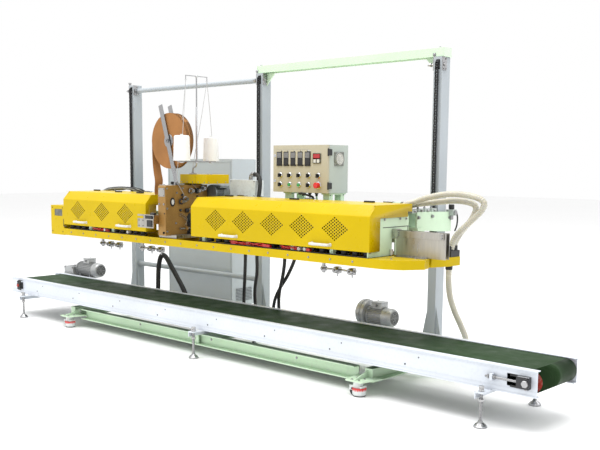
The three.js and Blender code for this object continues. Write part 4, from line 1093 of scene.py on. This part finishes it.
for name, x, z in (*((f"selector_{i + 1}", CONTROL_X[i], UPPER_ROW) for i in range(5)),
                   ("selector_6", CONTROL_X[0], LOWER_ROW), ("selector_7", CONTROL_X[3], LOWER_ROW)):
    pointer = Build().box(x - 3.4, x + 3.4, DOOR_Y - 17, DOOR_Y - 8, z - 10.5, z + 10.5)
    pointer.ride(f"{name}_grip", name, "black", 1.0)
    line = Build().box(x - 1, x + 1, DOOR_Y - 17.5, DOOR_Y - 16.9, z + 1, z + 10)
    line.ride(f"{name}_pointer", name, "pale_plastic")
for z in (1210, 1380):
    chrome.lathe("y", (346, z), [(DOOR_Y, 11), (DOOR_Y - 3, 11), (DOOR_Y - 4, 9)], 22)
    chrome.box(343, 349, DOOR_Y - 6, DOOR_Y - 3, z - 8, z + 8)
for z in (1186, 1402):
    side_trim.box(820, 829, 180, 214, z - 20, z + 20)
    side_trim.rod("z", z - 24, z + 24, (824, 180), 5.5, 14, 1)
labels.ride("control_label_strips", "control_door", "pale_plastic")
frames.ride("controller_cases", "control_door", "black", 0.8)
screens.ride("controller_windows", "control_door", "display")
red_view.ride("controller_digits", "control_door", "red_display")
keys.ride("controller_keys", "control_door", "pale_plastic")
chrome.ride("control_bezels", "control_door", "chrome", 0.3)
side_trim.ride("control_box_hinges", "head", "black", 0.8)
BOX_FAN = (290, 1360)
vents, filter_pad, legs, fan_frame = builds(4)
fan_frame.box(820, 825, 245, 335, 1315, 1405)
fan_frame.ring("x", 825, 832, BOX_FAN, 43, 37, 32)
filter_pad.rod("x", 824, 831, BOX_FAN, 36.5, 32, 1)
for r in (10, 20, 30):
    vents.ring("x", 830.6, 831.6, BOX_FAN, r, r - 1.2, 28)
for x in (430, 774):
    for y0, y1 in ((222, 256), (338, 372)):
        legs.box(x - 27, x + 27, y0 - 1, y1 + 1, 963, 1137.5)
    legs.box(x - 36, x + 36, 214, 380, 1128, 1137.5)
    for y in (230, 364):
        vents.bolt("z", -1, 1128, (x + 30, y), 4, 4)
for k, x in enumerate((500, 560, 620, 700)):
    vents.lathe("z", (x, 300), [(1138, 13), (1126, 13), (1124, 9), (1112, 9)], 12)
    legs.tube([(x, 300, 1112), (x, 302, 1060), (x - 40 - 14 * k, 300, 1010), (x - 120, 300, 985),
               (x - 190, 296, 970)], 6, 10)
vents.box(560, 590, 184, 196, 1124, 1138)
vents.ride("control_box_glands", "head", "black")
filter_pad.ride("control_box_filter", "head", "pale_plastic")
fan_frame.ride("control_box_fan_frame", "head", "mesh_grey", 0.6)
legs.ride("control_box_legs", "head", "mint", 1.0)

# ---- junction box behind the sewing head
case, elbow, lead = builds(3)
case.box(-268, -10, 339, 425, 1090, 1205)
case.box(-272, -6, 333, 341, 1086, 1209)
for x in (-262, -16):
    for z in (1096, 1199):
        elbow.screw("y", -1, 333, (x, z), 4.5)
case.box(-170, -110, 372, 416, 1040, 1090)
elbow.tube([(x, 382, z) for x, z in ((-100, 1205), (-100, 1222), (-96, 1240), (-80, 1248), (-62, 1248))],
           15, 16, 5)
elbow.rod("x", -84, -62, (382, 1248), 19, 20, 2)
lead.tube([(-62, 382, 1248), (-40, 382, 1246), (-8, 378, 1228), (14, 366, 1183), (20, 350, 1110),
           (20, 336, 1040), (20, 330, 985)], 15, 16)
case.ride("junction_box", "head", "caster", 1.5)
elbow.ride("junction_glands", "head", "steel", 0.3)
lead.ride("junction_leads", "head", "rubber")

# ---- infeed end
groove, fittings, hinge_block, valves = builds(4)
groove.box(END_PLATE, END_PLATE + 1, -104, 148, 964, 968)
groove.box(END_PLATE, END_PLATE + 1, 136, 140, 900, 968)
hinge_block.box(END_PLATE, END_PLATE + 12, -34, -16, 806, 838)
hinge_block.rod("z", 804, 840, (1500, -34), 5, 12, 1)
for y, z in ((-222, 1010), (-222, 830), (120, 1010), (60, 1012), (-90, 1012)):
    fittings.bolt("x", 1, END_PLATE, (y, z), 6)
for x in (1545, 1840):
    for z in (922, 938):
        fittings.bolt("y", -1, -27, (x, z), 5)
for x in (1552, 1640, 1725):
    fittings.bolt("z", 1, 804, (x, -44), 5)
for at in ((227, 1012), (372, 1015)):
    fittings.bolt("x", 1, 1503, at, 9, 9)
for y in (196, 262, 330, 404):
    valves.box(1448, 1496, y - 26, y + 26, 1040, 1062)
    fittings.rod("z", 1062, 1072, (1472, y), 8, 6, 1)
    fittings.rod("x", 1496, 1508, (y, 1051), 7, 6, 1)
    groove.tube([(1472, y, 1070), (1466, y + 6, 1096), (1440, y + 20, 1104), (1404, y + 30, 1080),
                 (1390, 262, 1060)], 3.4, 8)
valves.box(1478, 1530, 560, 602, 1012, 1050)
groove.lathe("z", (1504, 581), [(1050, 12), (1054, 18), (1078, 18), (1082, 14)], 20)
groove.tube([(1528, 600, 1040), (1534, 606, 1000), (1532, 604, 950), (1524, 594, 914)], 5, 10)
fittings.rod("x", 1528, 1540, (581, 1030), 15, 24, 1.5)
fittings.rod("z", 986, 1012, (1504, 581), 13, 20, 2)
groove.ride("infeed_lines", "head", "black")
fittings.ride("infeed_fittings", "head", "steel", 0.3)
hinge_block.ride("infeed_gate_hinge", "head", "pale_plastic", 0.8)
valves.ride("air_valves", "head", "pale", 0.8)

# ---- hoses and cables
UPPER = (((1395, 196, 1078), (1480, 198, 1102), (1600, 200, 1138), (1740, 200, 1160), (1880, 202, 1152),
          (1956, 204, 1122), (1944, 202, 1070), (1872, 196, 1000), (1796, 182, 920), (1766, 176, 832)),
         ((1395, 246, 1078), (1480, 246, 1092), (1600, 246, 1106), (1740, 244, 1120), (1850, 240, 1112),
          (1890, 236, 1082), (1862, 232, 1014), (1800, 228, 940), (1768, 222, 880), (1762, 220, 832)))
LOWER = ((1745, 200, 747), (1745, 200, 716), (1743, 204, 650), (1746, 220, 560), (1762, 250, 470),
         (1784, 290, 380), (1782, 350, 290), (1720, 410, 212), (1560, 424, 190), (1380, 424, 190),
         (1200, 436, 205), (1090, 478, 252), (1046, 506, 312), (1036, 492, 362), (1034, 450, 366))
CABLES = (
    ((40, 190, 742), (38, 196, 660), (14, 212, 500), (-22, 240, 380), (-46, 262, 250), (-46, 290, 154)),
    ((160, 190, 742), (160, 192, 660), (152, 200, 558), (118, 214, 440), (98, 236, 330), (96, 262, 154)),
    ((430, 190, 742), (428, 194, 660), (402, 204, 560), (352, 222, 430), (322, 250, 320), (310, 280, 160)),
    ((520, 190, 742), (514, 200, 680), (424, 228, 560), (322, 252, 450), (252, 272, 340), (226, 284, 160)))
ARCH = ((-1146, 330, 150), (-1142, 330, 330), (-1132, 330, 480), (-1100, 332, 572), (-1050, 336, 572),
        (-985, 340, 500), (-900, 344, 400), (-838, 348, 320), (-790, 352, 230), (-770, 356, 150))
HOSE_R, HOSE_RIBS = 17.4, (13, 1.1)
hoses, clamp, cuffs = builds(3)
for points in UPPER:
    hoses.tube(points, HOSE_R, 20, ribs=HOSE_RIBS)
    x, y, _ = points[-1]
    cuffs.rod("z", 838, 866, (x, y), 21, 24, 2)
    cuffs.rod("x", 1396, 1420, (points[0][1], 1080), 21, 24, 2)
clamp.box(1741, 1787, 151, 245, TRAY_TOP, 838)
hoses.ride("suction_hoses", "head", "hose", replaces=("upper_hoses",))
clamp.ride("suction_manifold", "head", "black", 2)
cuffs.ride("hose_cuffs", "head", "rubber")
drop = Build().tube(LOWER, HOSE_R, 20, ribs=HOSE_RIBS).mesh("suction_hose_drop", "hose")
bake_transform(drop)
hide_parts("lower_hose")
Build().rod("z", 722, 746, (1745, 200), 21, 24, 2).ride("hose_cuff_lower", "head", "rubber")
Build().rod("y", 444, 468, (1034, FAN_Z), 21, 24, 2).ride("hose_cuff_fan", "frame", "rubber")

cables = Build()
for points in CABLES:
    cables.tube([(points[0][0], points[0][1], 736), *points[1:]], 12, 14)
cables = cables.mesh("cable_bundle", "rubber")
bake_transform(cables)
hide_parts("cable_drop")
glands, anchors = builds(2)
glands.box(14, 546, 178, 202, 736, 747.5)
for points in CABLES:
    glands.rod("z", 716, 736, points[0][:2], 16, 6, 1)
    anchors.rod("z", 147, 176, points[-1][:2], 16, 6, 1)
for x, y in (ARCH[0][:2], ARCH[-1][:2]):
    anchors.rod("z", 147, 180, (x, y), 24, 20, 2)
glands.ride("cable_glands", "head", "black", 0.8)
anchors.ride("cable_anchors", "frame", "black", 0.8)
conduit = Build().tube(ARCH, 19, 18, ribs=(11, 1.0))
conduit.ride("corrugated_conduit", "frame", "rubber", replaces=("arch_cable",))

# ---- trays, sensor rails, carriage
rails, tray_bolts, rollers = builds(3)
for x in (-1215, -705, 1085):
    rails.rod("x", x - 10, x + 250, (-150, 702), 6.6, 16)
    rails.rod("z", 676, 748, (x, -150), 11, 16)
    rails.rod("y", -178, -160, (x, 702), 8, 6, 1)
    for step in (110, 222):
        rails.box(x + step - 19, x + step + 19, -165, -135, 681, 721)
        rails.rod("y", -186, -128, (x + step, 702), 17, 20, 2)
        rails.rod("y", -196, -186, (x + step, 702), 8, 6, 1)
        rails.rod("z", 664, 682, (x + step, -150), 5, 12)
    rails.box(x - 15, x + 15, -163, -137, 687, 717)
    tray_bolts.bolt("y", -1, -163, (x, 702), 5)
for x in range(-1500, 1560, 170):
    tray_bolts.bolt("y", -1, -252, (x, 774), 5, 3)
for x, y in ((1610, -180), (1690, -60), (1770, 110), (1700, 40), (1560, 190)):
    tray_bolts.bolt("z", 1, 800, (x, y), 6)
for x in POSTS.values():
    for z in (840, 1000):
        for side in (-1, 1):
            rollers.rod("x", x + side * 31, x + side * 44, (560, z), 12.7, 20, 1)
            rollers.rod("x", x + side * 44, x + side * 50, (560, z), 8, 6)
rails.ride("sensor_rails", "head", "steel", 0.6)
tray_bolts.ride("tray_bolts", "head", "steel")
rollers.ride("guide_rollers", "head", "steel", 0.3)

# ---- cabinet
trim, dark, door_trim = builds(3)
for k in range(9):
    trim.prism("y", 640, 820, [
        (x, z + 12 * k) for x, z in ((-538, 230), (-531, 233), (-532, 235), (-538, 234))])
    dark.box(-538.6, -537.4, 641, 819, 227 + 12 * k, 230 + 12 * k)
for z in (300, 775, 1250):
    dark.rod("z", z - 40, z + 40, (-1340, 866), 7, 14, 1)
for x in (-1320, -552):
    for z in (206, 1344):
        trim.rod("y", 599, 603, (x, z), 6, 6)
for x0, x1, z0, z1 in ((-1320, -552, 210, 214), (-1320, -552, 1336, 1340), (-1320, -1316, 210, 1340),
                       (-556, -552, 210, 1340)):
    trim.box(x0, x1, 597.5, 600, z0, z1)
for k in range(6):
    dark.rod("z", 168, 190, (-1200 + 110 * k, 700), 15, 12, 1)
door_trim.box(-620, -576, 862, 868, 800, 1000)
door_trim.box(-608, -588, 868, 882, 840, 962)
for z in (236, 1310):
    door_trim.box(-1300, -572, 862, 864, z, z + 4)
for k in range(10):
    door_trim.box(-1240, -1040, 862, 866, 1140 + 12 * k, 1145 + 12 * k)
trim.ride("cabinet_trim", "frame", "cabinet", 0.5)
dark.ride("cabinet_fittings", "frame", "black")
door_trim.ride("cabinet_door_trim", "cabinet_door", "cabinet", 0.8)

floor_mesh = bpy.data.meshes.new("floor")
floor_mesh.from_pydata([(-30, -30, 0), (30, -30, 0), (30, 30, 0), (-30, 30, 0)], [], [(0, 1, 2, 3)])
floor = bpy.data.objects.new("floor", floor_mesh)
scene.collection.objects.link(floor)
floor_look = Shader("pale_floor", 0.9)
floor_look.colour(floor_look.mix(floor_look.noise(0.8, 2), (0.93, 0.93, 0.93), (0.95, 0.95, 0.95)))
floor_mesh.materials.append(floor_look.material)
